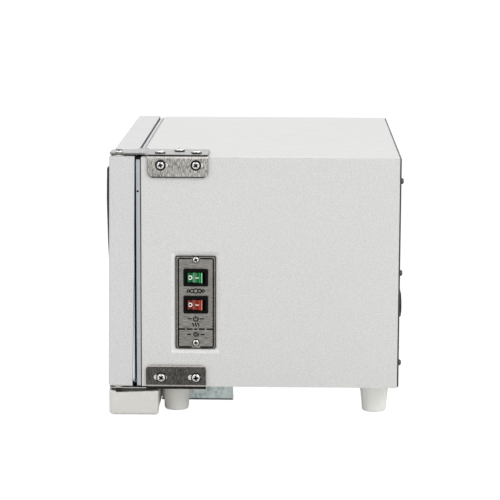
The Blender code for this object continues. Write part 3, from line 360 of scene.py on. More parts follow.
def rounded(u0, u1, v0, v1, radius, arc=6):
    radii = radius if isinstance(radius, (list, tuple)) else (radius,) * 4
    corners = [(u0, v0), (u1, v0), (u1, v1), (u0, v1)]
    return fillet([(u, v, max(r, 0.02)) for (u, v), r in zip(corners, radii)], arc)


def ring(u, v, radius, count=32):
    return [(u + radius * math.cos(2 * math.pi * k / count), v + radius * math.sin(2 * math.pi * k / count)) for k in range(count)]


def slot(u0, u1, v, radius, arc=10):
    return rounded(u0, u1, v - radius, v + radius, radius * 0.999, arc)


def flat(outlines, facing, near, thick, edge=0.0, edge_steps=2):
    """A sheet cut to outlines with holes, with softened edges, as a bmesh in millimetres.
    facing x takes (y, z) outlines, y takes (x, z) and z takes (x, y)."""
    curve = bpy.data.curves.new("outline", "CURVE")
    curve.dimensions = "2D"
    curve.fill_mode = "BOTH"
    curve.extrude = thick / 2 - edge
    curve.bevel_depth = edge
    curve.bevel_resolution = edge_steps
    curve.offset = -edge
    for outline in outlines:
        spline = curve.splines.new("POLY")
        spline.points.add(len(outline) - 1)
        for point, (u, v) in zip(spline.points, outline):
            point.co = (u, v, 0, 1)
        spline.use_cyclic_u = True
    bm = from_curve(curve)
    middle = near + thick / 2
    for v in bm.verts:
        a, b, w = v.co
        v.co = {"x": (middle + w, a, b), "y": (a, middle - w, b), "z": (a, b, middle + w)}[facing]
    return bm


def from_curve(curve):
    helper = bpy.data.objects.new("outline", curve)
    scene.collection.objects.link(helper)
    bpy.context.view_layer.update()
    mesh = bpy.data.meshes.new_from_object(helper.evaluated_get(bpy.context.evaluated_depsgraph_get()))
    bm = bmesh.new()
    bm.from_mesh(mesh)
    for face in bm.faces:
        face.material_index = 0
    bmesh.ops.remove_doubles(bm, verts=bm.verts, dist=1e-4)
    bpy.data.objects.remove(helper, do_unlink=True)
    bpy.data.curves.remove(curve)
    bpy.data.meshes.remove(mesh)
    return bm


def wire(points, radius, closed=False, sides=4):
    """A round wire along points, in millimetres."""
    curve = bpy.data.curves.new("wire", "CURVE")
    curve.dimensions = "3D"
    curve.bevel_depth = radius
    curve.bevel_resolution = sides
    curve.use_fill_caps = not closed
    spline = curve.splines.new("POLY")
    spline.points.add(len(points) - 1)
    for point, p in zip(spline.points, points):
        point.co = (*p, 1)
    spline.use_cyclic_u = closed
    return from_curve(curve)


def add(bm, other, material=0):
    """Puts another bmesh's faces into bm."""
    for face in other.faces:
        face.material_index = material
    mesh = bpy.data.meshes.new("part")
    other.to_mesh(mesh)
    other.free()
    bm.from_mesh(mesh)
    bpy.data.meshes.remove(mesh)
    return bm


def loft(bm, rings, loop=True, caps=(False, False), around=False, material=0):
    """Quads between successive rings of points."""
    rows = [[bm.verts.new(p) for p in points] for points in rings]
    pairs = list(zip(rows, rows[1:])) + ([(rows[-1], rows[0])] if around else [])
    faces = []
    for a, b in pairs:
        n = len(a)
        for k in range(n if loop else n - 1):
            q = (k + 1) % n
            faces.append(bm.faces.new((a[k], a[q], b[q], b[k])))
    if caps[0]:
        faces.append(bm.faces.new(rows[0][::-1]))
    if caps[1]:
        faces.append(bm.faces.new(rows[-1]))
    for face in faces:
        face.material_index = material
    return rows


def lathe(bm, profile, centre=(0, 0, 0), facing="+z", steps=48, material=0):
    """Turns (radius, height) points about an axis through centre."""
    place = {
        "+z": lambda r, a, h: (r * math.cos(a), r * math.sin(a), h),
        "-z": lambda r, a, h: (r * math.cos(a), -r * math.sin(a), -h),
        "+x": lambda r, a, h: (h, r * math.cos(a), r * math.sin(a)),
        "+y": lambda r, a, h: (r * math.sin(a), h, r * math.cos(a)),
    }[facing]
    rows = []
    for r, h in profile:
        if r < 1e-6:
            rows.append([bm.verts.new(Vector(place(0, 0, h)) + Vector(centre))])
        else:
            rows.append([bm.verts.new(Vector(place(r, 2 * math.pi * k / steps, h)) + Vector(centre)) for k in range(steps)])
    for a, b in zip(rows, rows[1:]):
        for k in range(steps):
            q = (k + 1) % steps
            if len(a) == 1 and len(b) == 1:
                continue
            if len(a) == 1:
                face = bm.faces.new((a[0], b[q], b[k]))
            elif len(b) == 1:
                face = bm.faces.new((a[k], a[q], b[0]))
            else:
                face = bm.faces.new((a[k], a[q], b[q], b[k]))
            face.material_index = material
    return bm


def outward(bm):
    bmesh.ops.recalc_face_normals(bm, faces=bm.faces)


def piece(name, bm, finishes, body, nodes=(), sharp=34, solid=None, bevel=None, even=True, lean=False):
    """Makes the object from a bmesh in millimetres, hangs it on the empty of the body it rides on, and hides the nodes
    it stands for.
    lean tilts it with the door's hinge line."""
    bmesh.ops.transform(bm, matrix=TO_ROW @ HINGE_LEAN if lean else TO_ROW, verts=bm.verts)
    mesh = bpy.data.meshes.new(name)
    bm.to_mesh(mesh)
    bm.free()
    made = bpy.data.objects.new(name, mesh)
    return dress(made, finishes, body, nodes, sharp, solid, bevel, even)


def dress(made, finishes, body, nodes=(), sharp=34, solid=None, bevel=None, even=True):
    if not made.users_collection:
        scene.collection.objects.link(made)
    if not made.data.materials:
        for finish in finishes:
            made.data.materials.append(finish)
    made.data.shade_smooth()
    if solid:
        change = made.modifiers.new("sheet", "SOLIDIFY")
        change.thickness = solid * MM
        change.offset = -1.0
        change.use_even_offset = even
    if bevel:
        change = made.modifiers.new("edges", "BEVEL")
        change.width = bevel * MM
        change.segments = 3
        change.limit_method = "ANGLE"
        change.angle_limit = math.radians(30)
        change.harden_normals = False
    if sharp:
        made.data.set_sharp_from_angle(angle=math.radians(sharp))
    change = made.modifiers.new("normals", "WEIGHTED_NORMAL")
    change.keep_sharp = True
    change.weight = 60
    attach(made, body)
    if nodes:
        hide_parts(*nodes)
    return made


# ------------------------------------------------------------------------------------------ main sizes
HALF = 165.0
Z0, Z1 = 26.0, 222.0
CASE_Y0, CASE_Y1 = 27.3, 243.7
FOLD_R = 2.5


# ------------------------------------------------------------------------------------------ outer case
def outer_case():
    """One folded sheet: top and both sides, with rounded return folds and the pressed recess in the right side."""
    bm = bmesh.new()
    arc = 8
    path = [((-HALF, Z0), (-1.0, 0.0))]
    for cx, start in ((-HALF + FOLD_R, math.pi), (HALF - FOLD_R, math.pi / 2)):
        for k in range(arc + 1):
            a = start - math.pi / 2 * k / arc
            n = (math.cos(a), math.sin(a))
            path.append(((cx + FOLD_R * n[0], Z1 - FOLD_R + FOLD_R * n[1]), n))
    path.append(((HALF, Z0), (1.0, 0.0)))
    front, rear, steps = 1.3, 0.5, 5
    stations = []
    for k in range(steps + 1):
        t = math.pi / 2 * k / steps
        stations.append((front * (1 - math.sin(t)), CASE_Y0 + front * (1 - math.cos(t))))
    straight = len(stations) - 1
    for k in range(steps + 1):
        t = math.pi / 2 * k / steps
        stations.append((rear * (1 - math.cos(t)), CASE_Y1 - rear + rear * math.sin(t)))
    rows = [[bm.verts.new((p[0] - n[0] * d, y, p[1] - n[1] * d)) for d, y in stations] for p, n in path]
    last = len(rows) - 2
    for i, (a, b) in enumerate(zip(rows, rows[1:])):
        for j in range(len(stations) - 1):
            if i == last and j == straight:
                continue
            bm.faces.new((a[j], a[j + 1], b[j + 1], b[j]))

    def line(a, b):
        return bm.edges.get((a, b)) or bm.edges.new((a, b))

    # return flanges behind the front frame and the rear panel
    for column in (0, -1):
        y = stations[column][1]
        outer = [row[column] for row in rows]
        inner = [bm.verts.new(p) for p in ((HALF - 12, y, Z0), (HALF - 12, y, Z1 - 12), (-HALF + 12, y, Z1 - 12), (-HALF + 12, y, Z0))]
        loop = outer + inner
        bmesh.ops.triangle_fill(bm, use_beauty=True, edges=[line(loop[k], loop[(k + 1) % len(loop)]) for k in range(len(loop))])

    # the recess: mitred slopes with pressed, rounded edges
    section = fillet([(6.2, HALF, 0), (3.4, HALF, 1.3), (0.0, HALF - 2.7, 0.9), (-2.2, HALF - 2.7, 0)], 5, closed=False)
    rings = []
    for o, x in section:
        rings.append([(x, y, z) for y, z in rounded(55.7 - o, 90.5 + o, 58.0 - o, 138.6 + o, 1.0 + 0.28 * max(o, 0.0), 5)])
    inner = loft(bm, rings)
    # its floor, cut for the two switch bodies and the plate's screws
    cuts = [rounded(SWITCH_Y - 9.5, SWITCH_Y + 9.5, zc - 6.5, zc + 6.5, 0.5, 3) for zc in (OZONE_Z, POWER_Z)] + [ring(73.3, z, 1.6, 16) for z in (134.9, 63.7)]
    loops = [inner[-1]] + [[bm.verts.new((HALF - 2.7, y, z)) for y, z in cut] for cut in cuts]
    bmesh.ops.triangle_fill(bm, use_beauty=True, edges=[line(loop[k], loop[(k + 1) % len(loop)]) for loop in loops for k in range(len(loop))])
    hole = inner[0]
    corners = [rows[-2][straight], rows[-2][straight + 1], rows[-1][straight + 1], rows[-1][straight]]
    edges = [line(corners[k], corners[(k + 1) % 4]) for k in range(4)] + [line(hole[k], hole[(k + 1) % len(hole)]) for k in range(len(hole))]
    bmesh.ops.triangle_fill(bm, use_beauty=True, edges=edges)
    outward(bm)
    top = max(bm.faces, key=lambda f: f.calc_area() if f.calc_center_median().z > Z1 - 0.5 else 0)
    if top.normal.z < 0:
        bmesh.ops.reverse_faces(bm, faces=bm.faces)
    # the pressed slopes of the recess take a brighter copy of the paint, a painted highlight
    bm.normal_update()
    for face in bm.faces:
        middle = face.calc_center_median()
        if HALF - 2.8 < middle.x < HALF - 0.15 and 45 < middle.y < 100 and 45 < middle.z < 150 and face.normal.x < 0.98:
            face.material_index = 1
    return piece("outer_case_skin", bm, [paint, slope_painted_highlight], "cabinet", ["outer_case"], solid=1.0, sharp=50)


outer_case()

# ------------------------------------------------------------------------------------------ back
INLET_X, INLET_Z = 115.0, 91.2
REAR_SCREWS = [(s * 158.5, z) for s in (-1, 1) for z in (47.0, 124.0, 202.0)]
bm = flat(
    [
        rounded(-HALF + 0.4, HALF - 0.4, Z0 + 0.4, Z1 - 0.4, 2.0, 6),
        rounded(INLET_X - 13.8, INLET_X + 13.8, INLET_Z - 9.8, INLET_Z + 9.8, 0.6, 3),
        *[ring(x, z, 1.9, 24) for x, z in REAR_SCREWS],
        *[slot(x0, x0 + 34, 176 - 9 * k, 1.8, 8) for x0 in (-118, -68) for k in range(4)],
    ],
    "y", 244.0, 1.0, 0.22,
)
outward(bm)
piece("rear_panel_sheet", bm, [rear_coat], "cabinet", ["rear_panel"])


# ------------------------------------------------------------------------------------------ door
def door_shell():
    bm = bmesh.new()
    bmesh.ops.create_cube(bm, size=1.0)
    bmesh.ops.scale(bm, vec=(2 * HALF, 21.2, 196.6), verts=bm.verts)
    edges = [e for e in bm.edges if all(v.co.y < 0 for v in e.verts) or abs(e.verts[0].co.y - e.verts[1].co.y) > 10]
    bmesh.ops.bevel(bm, geom=edges, offset=1.7, segments=6, profile=0.5, affect="EDGES", clamp_overlap=True)
    rear = [f for f in bm.faces if f.normal.y > 0.9]
    bmesh.ops.delete(bm, geom=rear, context="FACES")
    # below the middle the skin's rear edge draws forward a little, and leaves the seal's bead in sight
    bmesh.ops.bisect_plane(bm, geom=[*bm.verts, *bm.edges, *bm.faces], plane_co=(0, 0, 6.0), plane_no=(0, 0, 1), dist=1e-5)
    for v in bm.verts:
        if v.co.y > 10.5 and v.co.z < 6.0:
            v.co.y -= 0.95 * (6.0 - v.co.z) / 104.3
    # the rear edge turns in as a narrow lip
    for v in bmesh.ops.extrude_edge_only(bm, edges=[e for e in bm.edges if e.is_boundary])["geom"]:
        if isinstance(v, bmesh.types.BMVert):
            v.co.x *= (HALF - 0.7) / HALF
            v.co.z *= (98.3 - 0.7) / 98.3
    outward(bm)
    if min(bm.faces, key=lambda f: f.calc_center_median().y).normal.y > 0:
        bmesh.ops.reverse_faces(bm, faces=bm.faces)
    bmesh.ops.translate(bm, vec=(0, 10.6, 124.0), verts=bm.verts)
    made = piece("door_skin", bm, [door_paint, seal_lip_painted_shade], "door", ["door_shell"], solid=1.0, sharp=50, lean=True)
    # the skin's rim takes the near-black seal colour, a painted shade in the gap
    made.modifiers["sheet"].material_offset_rim = 1
    return made


door_shell()


def door_liner():
    """Inner sheet of the door, with a raised field that enters the chamber mouth."""
    bm = bmesh.new()
    section = fillet([(-9.0, 25.4, 0), (-3.4, 25.4, 2.0), (0.6, 19.9, 1.6), (4.0, 19.9, 0)], 5, closed=False)
    rings = [[(x, y, z) for x, z in rounded(-137 - o, 107 + o, 58 - o, 192 + o, 3.0 + o * 0.3, 6)] for o, y in section]
    rings.append([(x, 19.9, z) for x, z in rounded(-163.2, 163.2, 27.5, 220.5, 1.0, 6)])
    rings.append([(x, 19.6, z) for x, z in rounded(-163.6, 163.6, 27.1, 220.9, 1.4, 6)])
    loft(bm, rings, caps=(True, False))
    outward(bm)
    big = max(bm.faces, key=lambda f: f.calc_area())
    if big.normal.y < 0:
        bmesh.ops.reverse_faces(bm, faces=bm.faces)
    return piece("door_inner_sheet", bm, [door_sheet], "door", ["door_liner"], solid=0.7, lean=True)


door_liner()


def gasket():
    """A seal on the leaning door: a pale bead, and a hollow lip pressed flat by the upright frame; its root and lip are
    painted near-black, a painted shade in the door's gap.
    """
    bm = bmesh.new()
    section = [
        (-0.7, 0.0), (-0.7, 20.70), (-0.12, 20.76), (0.0, 20.90), (0.0, 21.24), (-0.12, 21.36), (-1.4, 21.40), (-1.6, 21.60), (-1.6, 22.35),
        (-1.8, 22.65), (-2.3, 22.85), (-3.2, 22.9), (-3.6, 22.75), (-4.0, 22.9), (-5.0, 22.85), (-5.6, 22.6), (-5.8, 22.2), (-5.8, 21.6), (-6.9, 21.5), (-7.0, 0.0),
    ]
    rings = []
    for i, (o, y) in enumerate(section):
        ring_points = []
        outline = rounded(-163.4 - o, 163.4 + o, 28.6 - o, 219.4 + o, 6.0 + o * 0.5, 8)
        full = []
        for k, (x, z) in enumerate(outline):
            full.append((x, z))
            nx, nz = outline[(k + 1) % len(outline)]
            if abs(nx - x) < 1e-3 and abs(nz - z) > 100:
                full += [(x, v) for v in sorted((40.0, 55.0, 70.0, 85.0, 100.0, 115.0, 130.0, 145.0), reverse=nz < z)]
        for x, z in full:
            base = 20.2 + math.tan(LEAN) * (z - 124.0)
            low = min(max((130.0 - z) / 103.0, 0.0), 1.0)
            here = y
            if 1 <= i <= 5 and low > 0.0:
                # towards the foot of the door the bead widens, where the skin's edge stands clear of it
                start = 21.2 + math.tan(LEAN) * (z - 124.0) - 0.95 * low + 0.32 * min(low * 3.4, 1.0)
                here = (start - 0.06, start, start + 0.14, 21.24 - 0.36 * low, 21.36 - 0.36 * low)[i - 1]
            if 2 <= i <= 5 and abs(x) > 155.0:
                x += math.copysign(0.3 + 1.05 * min(low * 3.4, 1.0), x)
            ring_points.append((x, max(here, base + 0.015 * min(i, len(section) - 1 - i)), z))
        rings.append(ring_points)
    loft(bm, rings, around=True)
    count = len(rings[0])
    # faces other than the bead take the near-black painted shade
    for k, face in enumerate(list(bm.faces)):
        face.material_index = 0 if 1 <= k // count <= 5 or k // count >= 17 else 1
    outward(bm)
    return piece("door_seal", bm, [gasket_rubber, seal_lip_painted_shade], "door", ["door_gasket"])


gasket()


def handle():
    """A moulded bow on the door's free side."""
    top, low, z0, z1 = 30.28, 27.0, 73.0, 173.8
    outline = fillet(
        [
            (-0.3, z1, 1.5), (-29.6, z1, 1.9), (-29.75, 158.0, 0), (-29.8, 142.0, 0), (-29.4, 127.0, 0), (-28.9, 112.0, 0), (-28.4, 97.0, 0), (-low, z0, 9.0), (-0.3, z0, 1.5),
            (-0.3, z0 + 10, 1.5), (-low + 8, z0 + 10, 6.0), (-top + 8, z1 - 10, 6.0), (-0.3, z1 - 10, 1.5),
        ],
        8,
    )
    bm = flat([outline], "x", -154.0, 14.0, 2.2, 4)
    outward(bm)
    return piece("door_pull", bm, [black_plastic], "door", ["door_handle"], sharp=50, lean=True)


handle()

# ------------------------------------------------------------------------------------------ front frame
bm = flat(
    [
        rounded(-HALF + 1.2, HALF - 1.2, Z0 - 0.2, Z1 - 1.2, (1.0, 1.0, 3.0, 3.0), 6),
        rounded(-143.0, 113.0, 52.0, 198.0, 4.0, 6),
        rounded(-152.3, -145.1, 109.7, 138.3, 0.4, 3),
    ],
    "y", 23.2, 3.4, 0.4,
)
outward(bm)
bm.normal_update()
# the frame's top faces take the paler copy of its coat, a painted highlight
for face in bm.faces:
    if face.normal.z > 0.5 and face.calc_center_median().z > Z1 - 2.0:
        face.material_index = 2
dot = bmesh.new()
lathe(dot, [(0, 0.30), (0.45, 0.27), (0.8, 0.12), (0.95, -0.05), (0.95, -0.6), (0, -0.6)], (HALF - 1.2, 24.6, 192.7), "+x", 24)
outward(dot)
add(bm, dot, 1)
# packing between the frame and the folded edge of the case
packing = flat([rounded(-HALF + 1.8, HALF - 1.8, Z0 + 1.8, Z1 - 1.8, 2.6, 6), rounded(-HALF + 7.0, HALF - 7.0, Z0 + 7.0, Z1 - 7.0, 2.0, 6)], "y", 26.45, 0.82, 0.1)
outward(packing)
add(bm, packing, 1)
# along the top, a dark joint line and a pale lip before the case; at the corner, a pad under the hinge bracket, painted
# near-black as the shade there
line = flat([rounded(-HALF + 4.0, 146.5, 25.75, 26.5, 0.1, 3)], "z", 220.3, 0.62, 0.05)
outward(line)
add(bm, line, 1)
lip = flat([rounded(-HALF + 4.0, 146.5, 26.4, 27.6, 0.1, 3)], "z", 220.2, 1.0, 0.15)
outward(lip)
add(bm, lip, 3)
painted_shade_pad = flat([rounded(146.0, HALF - 1.1, 23.4, 27.1, 0.5, 4)], "z", 219.7, 2.4, 0.25)
outward(painted_shade_pad)
add(bm, painted_shade_pad, 1)
piece("mouth_frame", bm, [frame_paint, black_ink, frame_painted_highlight, paint], "cabinet", ["front_frame"])


# ------------------------------------------------------------------------------------------ chamber
def chamber():
    bm = bmesh.new()
    section = fillet([(0.0, 27.0, 0), (0.0, 222.0, 2.5), (-9.0, 222.0, 0)], 5, closed=False)
    rings = [[(x, y, z) for x, z in rounded(-145 - o, 115 + o, 50 - o, 200 + o, 2.4 if o > -4 else 1.2, 6)] for o, y in section]
    loft(bm, rings, caps=(False, True))
    outward(bm)
    back = max(bm.faces, key=lambda f: f.calc_area() if f.calc_center_median().y > 221 else 0)
    if back.normal.y > 0:
        bmesh.ops.reverse_faces(bm, faces=bm.faces)
    # rivets that hold the heat controls on the other side of the back wall
    rivets = bmesh.new()
    for x in (30.0 - 9.5, 30.0 + 9.5, 62.0 - 11.5, 62.0 + 11.5):
        lathe(rivets, [(0, -1.1), (1.0, -1.0), (1.7, -0.6), (2.0, 0.0), (2.0, 0.4), (0, 0.4)], (x, 222.0, 86.0), "+y", 24)
    outward(rivets)
    made = piece("chamber_sheet", bm, [liner_sheet], "cabinet", ["chamber_liner"], solid=1.0)
    piece("chamber_rivets", rivets, [screw_steel], "cabinet", ())
    return made


chamber()

SHELF_Z = 120.5
for side, wall, s in (("left", -145.0, 1), ("right", 115.0, -1)):
    a, b, c = (wall + s * d for d in (0.3, 1.3, 9.3))
    z = SHELF_Z - 2.4
    bm = flat([fillet([(a, z, 1.4), (c, z, 0.3), (c, z - 1, 0.3), (b, z - 1, 0.5), (b, z - 9, 0.3), (a, z - 9, 0.3)], 4)], "y", 45.0, 165.0, 0.1)
    outward(bm)
    piece(f"ledge_{side}", bm, [liner_sheet], "cabinet", [f"shelf_ledge_{side}"])

bm = wire([(x, y, SHELF_Z) for x, y in rounded(-140.5, 110.5, 38.0, 214.0, 10.0, 8)], 2.0, closed=True, sides=5)
for k in range(11):
    x = -140.5 + 251.0 * (k + 1) / 12
    add(bm, wire([(x, y, SHELF_Z + 1.1) for y in (37.7, 38.2, 213.8, 214.3)], 1.4, sides=4))
outward(bm)
piece("shelf_wires", bm, [chrome_wire], "cabinet", ["wire_shelf"])


# ------------------------------------------------------------------------------------------ hinge brackets
def bracket(name, node, finishes, plate_z, up, inner_x, y0, y1, tip_y, tongue_x, holes, slots, drop, split, pale, band=0.0, joggle=0.0, band_painted_light=1):
    """Drawn as a flat blank, then its flange is bent along the corner of the case.
    finishes: the flange, the flange side of the bend, the plate side of the bend, the softened edges, the slot liners,
    the plate and the tongue's sheared edge; the finishes of the bend, the edges and the slot liners are painted
    highlight and painted shade.
    split parts the bend's two sides, and the flange side's finish runs on for pale; band is a strip along the flange's
    free edge in the finish band_painted_light, a painted shadow line or painted highlight as the caller gives; joggle
    is how far the tongue steps up from the plate."""
    t, ri = 1.6, 1.4
    outer_x = HALF + 0.3 + t
    bend = outer_x - t - ri
    arc = (ri + t / 2) * math.pi / 2
    edge = bend + arc + drop
    blank = fillet(
        [
            (tongue_x[0], tip_y, 7.0), (tongue_x[1], tip_y, 4.0), (tongue_x[1], y0, 0.0), (edge, y0, 4.6),
            (edge, y1, 4.6), (inner_x, y1, 4.0), (inner_x, y0 - 6.0, 4.0), (tongue_x[0], y0 - 12.0, 4.0),
        ],
        8,
    )
    outlines = [blank] + [ring(x, y, r, 32) for x, y, r in holes]
    middle = edge - slots[2]
    for centre in slots[0]:
        outlines.append([(middle + v, u) for u, v in slot(centre - slots[1] / 2, centre + slots[1] / 2, 0.0, 2.3, 10)])
    bm = flat(outlines, "z", -t / 2, t, 0.4, 2)
    steps = 8
    for k in range(steps + 1):
        bmesh.ops.bisect_plane(bm, geom=[*bm.verts, *bm.edges, *bm.faces], plane_co=(bend + arc * k / steps, 0, 0), plane_no=(1, 0, 0), dist=1e-5)
    for s in [arc + pale] * (pale > 0) + [arc + drop - band] * (band > 0):
        bmesh.ops.bisect_plane(bm, geom=[*bm.verts, *bm.edges, *bm.faces], plane_co=(bend + s, 0, 0), plane_no=(1, 0, 0), dist=1e-5)
    bm.normal_update()
    for face in bm.faces:
        s = face.calc_center_median().x - bend
        lies = abs(face.normal.z)
        if 0 < s < arc + pale:
            face.material_index = 2 if s < split * arc else 1
        elif s > arc + drop - band:
            face.material_index = band_painted_light
        elif lies < 0.8:
            face.material_index = 6 if lies < 0.25 and s < 0 else 3
        else:
            face.material_index = 0 if s > 0 else 5
    for v in bm.verts:
        s = v.co.x - bend
        if s > 1e-4:
            rho = ri + t / 2 - up * v.co.z
            a = min(s / arc, 1.0) * math.pi / 2
            v.co.x = bend + rho * math.sin(a)
            v.co.z = -up * (-(t / 2 + ri) + rho * math.cos(a) - max(s - arc, 0.0))
        v.co.z += plate_z
    if joggle:
        near, far = y0 - 2.6, y0 - 0.6
        for y in (near, (near + far) / 2, far):
            bmesh.ops.bisect_plane(bm, geom=[*bm.verts, *bm.edges, *bm.faces], plane_co=(0, y, 0), plane_no=(0, 1, 0), dist=1e-5)
        for v in bm.verts:
            v.co.z += joggle * min(max((far - v.co.y) / (far - near), 0.0), 1.0)
    outward(bm)
    # a pale liner in each slot, under the screw's washer, lightening the slot's shade: a painted highlight
    for centre, hole in zip(slots[0], SCREW_Y):
        z = plate_z + up * (t / 2 + ri + drop - slots[2])
        liner = flat([slot(centre - slots[1] / 2 + 0.1, centre + slots[1] / 2 - 0.1, z, 2.2, 10), ring(hole, z, 1.95, 24)], "x", HALF + 0.35, 1.05, 0.1)
        outward(liner)
        add(bm, liner, 4)
    return piece(name, bm, finishes, "cabinet", [node], sharp=40)


SCREW_Y = (44.0, 73.5)
TOP_SCREWS = [(155.0, 43.0), (141.0, 58.6), (155.0, 73.5)]
UNDER_SCREWS = [(157.0, y) for y in SCREW_Y]
PIN_HOLE_TOP, PIN_HOLE_BOTTOM = ((PIVOT[0], PIVOT[1] + math.tan(LEAN) * (z - 124.0), 2.8) for z in (224.2, 23.8))
# top bracket: a darker plate, a bend with a near-black and a bright band, and a dark line along the flange's free edge,
# all painted shade and highlight
bracket(
    "hinge_bracket_top", "top_hinge_bracket", [steel_bracket, steel_bend_painted_highlight, steel_bend_painted_shade, steel_bend_painted_shade, white_ink, steel_top_painted_shade, steel_rim_painted_shade], 223.1, -1, 125.5, 33.0, 83.6, 1.1, (137.0, 163.8),
    [PIN_HOLE_TOP, *[(x, y, 2.2) for x, y in TOP_SCREWS]], ([45.1, 74.6], 10.8, 10.6), 16.3, 0.62, 0.0, 1.0, joggle=1.1, band_painted_light=3,
)
# bottom bracket: the whole sheet in a darker copy of the steel as painted shade, a near-black bend, and pale painted
# highlight past the bend, along the flange's free edge and on the tongue's edge
bracket(
    "hinge_bracket_bottom", "bottom_hinge_bracket", [steel_bracket_painted_shade, steel_edge_painted_highlight, steel_bend_painted_shade, steel_bend_painted_shade, white_ink, steel_bracket_painted_shade, steel_edge_painted_highlight], 24.2, 1, 149.0, 31.1, 81.8, -0.3, (147.0, 163.8),
    [PIN_HOLE_BOTTOM, *[(x, y, 2.2) for x, y in UNDER_SCREWS]], ([43.2, 72.3], 11.5, 10.7), 18.3, 1.0, 1.1, 1.5,
)


# ------------------------------------------------------------------------------------------ screws and pins
def evaluated(made):
    bpy.context.view_layer.update()
    return bpy.data.meshes.new_from_object(made.evaluated_get(bpy.context.evaluated_depsgraph_get()))


def cross_recess(reach, width, depth, top):
    """The two tapered arms of a cross recess, as cutters."""
    out = []
    for turn in (0, math.pi / 2):
        bm = bmesh.new()
        low, high = top - depth, top + 0.4
        rows = []
        for z, a, b in ((low, reach * 0.45, width * 0.36), (high, reach * 1.08, width * 0.55)):
            rows.append([Matrix.Rotation(turn, 3, "Z") @ Vector(p) for p in ((-a, -b, z), (a, -b, z), (a, b, z), (-a, b, z))])
        loft(bm, rows, caps=(True, True))
        outward(bm)
        # the recess walls take the near-black painted shade
        for face in bm.faces:
            face.material_index = 1
        bmesh.ops.scale(bm, vec=(MM, MM, MM), verts=bm.verts)
        mesh = bpy.data.meshes.new("recess_arm")
        bm.to_mesh(mesh)
        bm.free()
        arm = bpy.data.objects.new("recess_arm", mesh)
        arm.data.materials.append(screw_steel)
        arm.data.materials.append(screw_painted_shade)
        scene.collection.objects.link(arm)
        out.append(arm)
    return out


def screw_mesh(name, head_r, head_h, shank_r, length, flush=False, collar=0.0, dome=0.76):
    """A cross-recess screw along +z, with its seat at z = 0 and a threaded shank below.
    collar is the height of a washer under its domed head, which is dome of its width; the washer is painted near-black
    as shade."""
    dome_r = head_r * dome if collar else head_r
    profile = [(0, head_h)]
    count = 12
    for k in range(1, count + 1):
        r = dome_r * math.sin(math.pi / 2 * k / count)
        if flush:
            h = head_h * (1 - 0.15 * (k / count) ** 6)
        else:
            h = collar + (head_h - collar) * max(1 - (r / dome_r) ** 2.6, 0.0) ** 0.5
        profile.append((r, h))
    if collar:
        profile += [(dome_r + 0.12, collar * 0.92), (head_r - 0.25, collar * 0.80), (head_r - 0.06, collar * 0.62), (head_r, collar * 0.4)]
    profile += [(head_r * 0.985, -0.02), (shank_r, -0.02)]
    z = -0.6
    while z > -length + 0.8:
        profile += [(shank_r * 0.98, z), (shank_r * 0.80, z - 0.3), (shank_r * 0.98, z - 0.6)]
        z -= 0.62
    profile += [(shank_r * 0.8, -length + 0.1), (0, -length)]
    bm = bmesh.new()
    lathe(bm, profile, steps=40)
    outward(bm)
    # the collar's faces take the near-black painted shade
    for face in bm.faces:
        middle = face.calc_center_median()
        if collar and math.hypot(middle.x, middle.y) > dome_r and middle.z > -0.1:
            face.material_index = 1
    bmesh.ops.scale(bm, vec=(MM, MM, MM), verts=bm.verts)
    mesh = bpy.data.meshes.new(name)
    bm.to_mesh(mesh)
    bm.free()
    mesh.materials.append(screw_steel)
    mesh.materials.append(screw_painted_shade)
    body = bpy.data.objects.new(name, mesh)
    scene.collection.objects.link(body)
    arms = cross_recess(dome_r * 0.70, dome_r * 0.46, min(head_h * 0.75, 1.5), head_h)
    for arm in arms:
        change = body.modifiers.new("recess", "BOOLEAN")
        change.object = arm
        change.solver = "EXACT"
    done = evaluated(body)
    for helper in (body, *arms):
        old = helper.data
        bpy.data.objects.remove(helper, do_unlink=True)
        bpy.data.meshes.remove(old)
    done.name = name
    return done


TURN = {
    "+z": Matrix.Identity(4),
    "-z": Matrix.Rotation(math.pi, 4, "X"),
    "+x": Matrix.Rotation(math.pi / 2, 4, "Y"),
    "+y": Matrix.Rotation(-math.pi / 2, 4, "X"),
}


def put_screw(name, mesh, where, facing, spin, body, nodes=(), sharp=32):
    made = bpy.data.objects.new(name, mesh.copy())
    scene.collection.objects.link(made)
    made.matrix_world = Matrix.Translation(at(*where)) @ TURN[facing] @ Matrix.Rotation(math.radians(spin), 4, "Z")
    return dress(made, [screw_steel, screw_painted_shade], body, nodes, sharp)


side_screw = screw_mesh("side_screw", 4.5, 2.0, 1.8, 8.5, collar=0.7, dome=0.70)
low_screw = screw_mesh("low_screw", 4.2, 2.0, 1.8, 8.5, collar=0.7, dome=0.82)
top_screw = screw_mesh("top_screw", 4.6, 2.0, 1.8, 7.5, collar=0.8, dome=0.84)
under_screw = screw_mesh("under_screw", 3.2, 0.8, 1.8, 8.1)
plate_screw = screw_mesh("plate_screw", 3.1, 1.7, 1.3, 8.0, collar=0.4, dome=0.84)
rear_screw = screw_mesh("rear_screw", 2.6, 2.0, 1.6, 8.0)
rear_screw.materials[0] = screw_dull
SIDE_X = HALF + 0.3 + 1.6 + 0.3
for label, y, spins in (("front", SCREW_Y[0], (18, 52)), ("rear", SCREW_Y[1], (38, 8))):
    put_screw(f"hinge_screw_top_side_{label}", side_screw, (SIDE_X, y, 215.2), "+x", spins[0], "cabinet", [f"top_bracket_side_screw_{label}"])
    put_screw(f"hinge_screw_bottom_side_{label}", low_screw, (SIDE_X, y, 34.0), "+x", spins[1], "cabinet", [f"bottom_bracket_side_screw_{label}"])
for label, (x, y), spin in zip(("front", "middle", "rear"), TOP_SCREWS, (12, 70, 41)):
    put_screw(f"hinge_screw_top_{label}", top_screw, (x, y, 224.2), "+z", spin, "cabinet", [f"top_bracket_screw_{label}"])
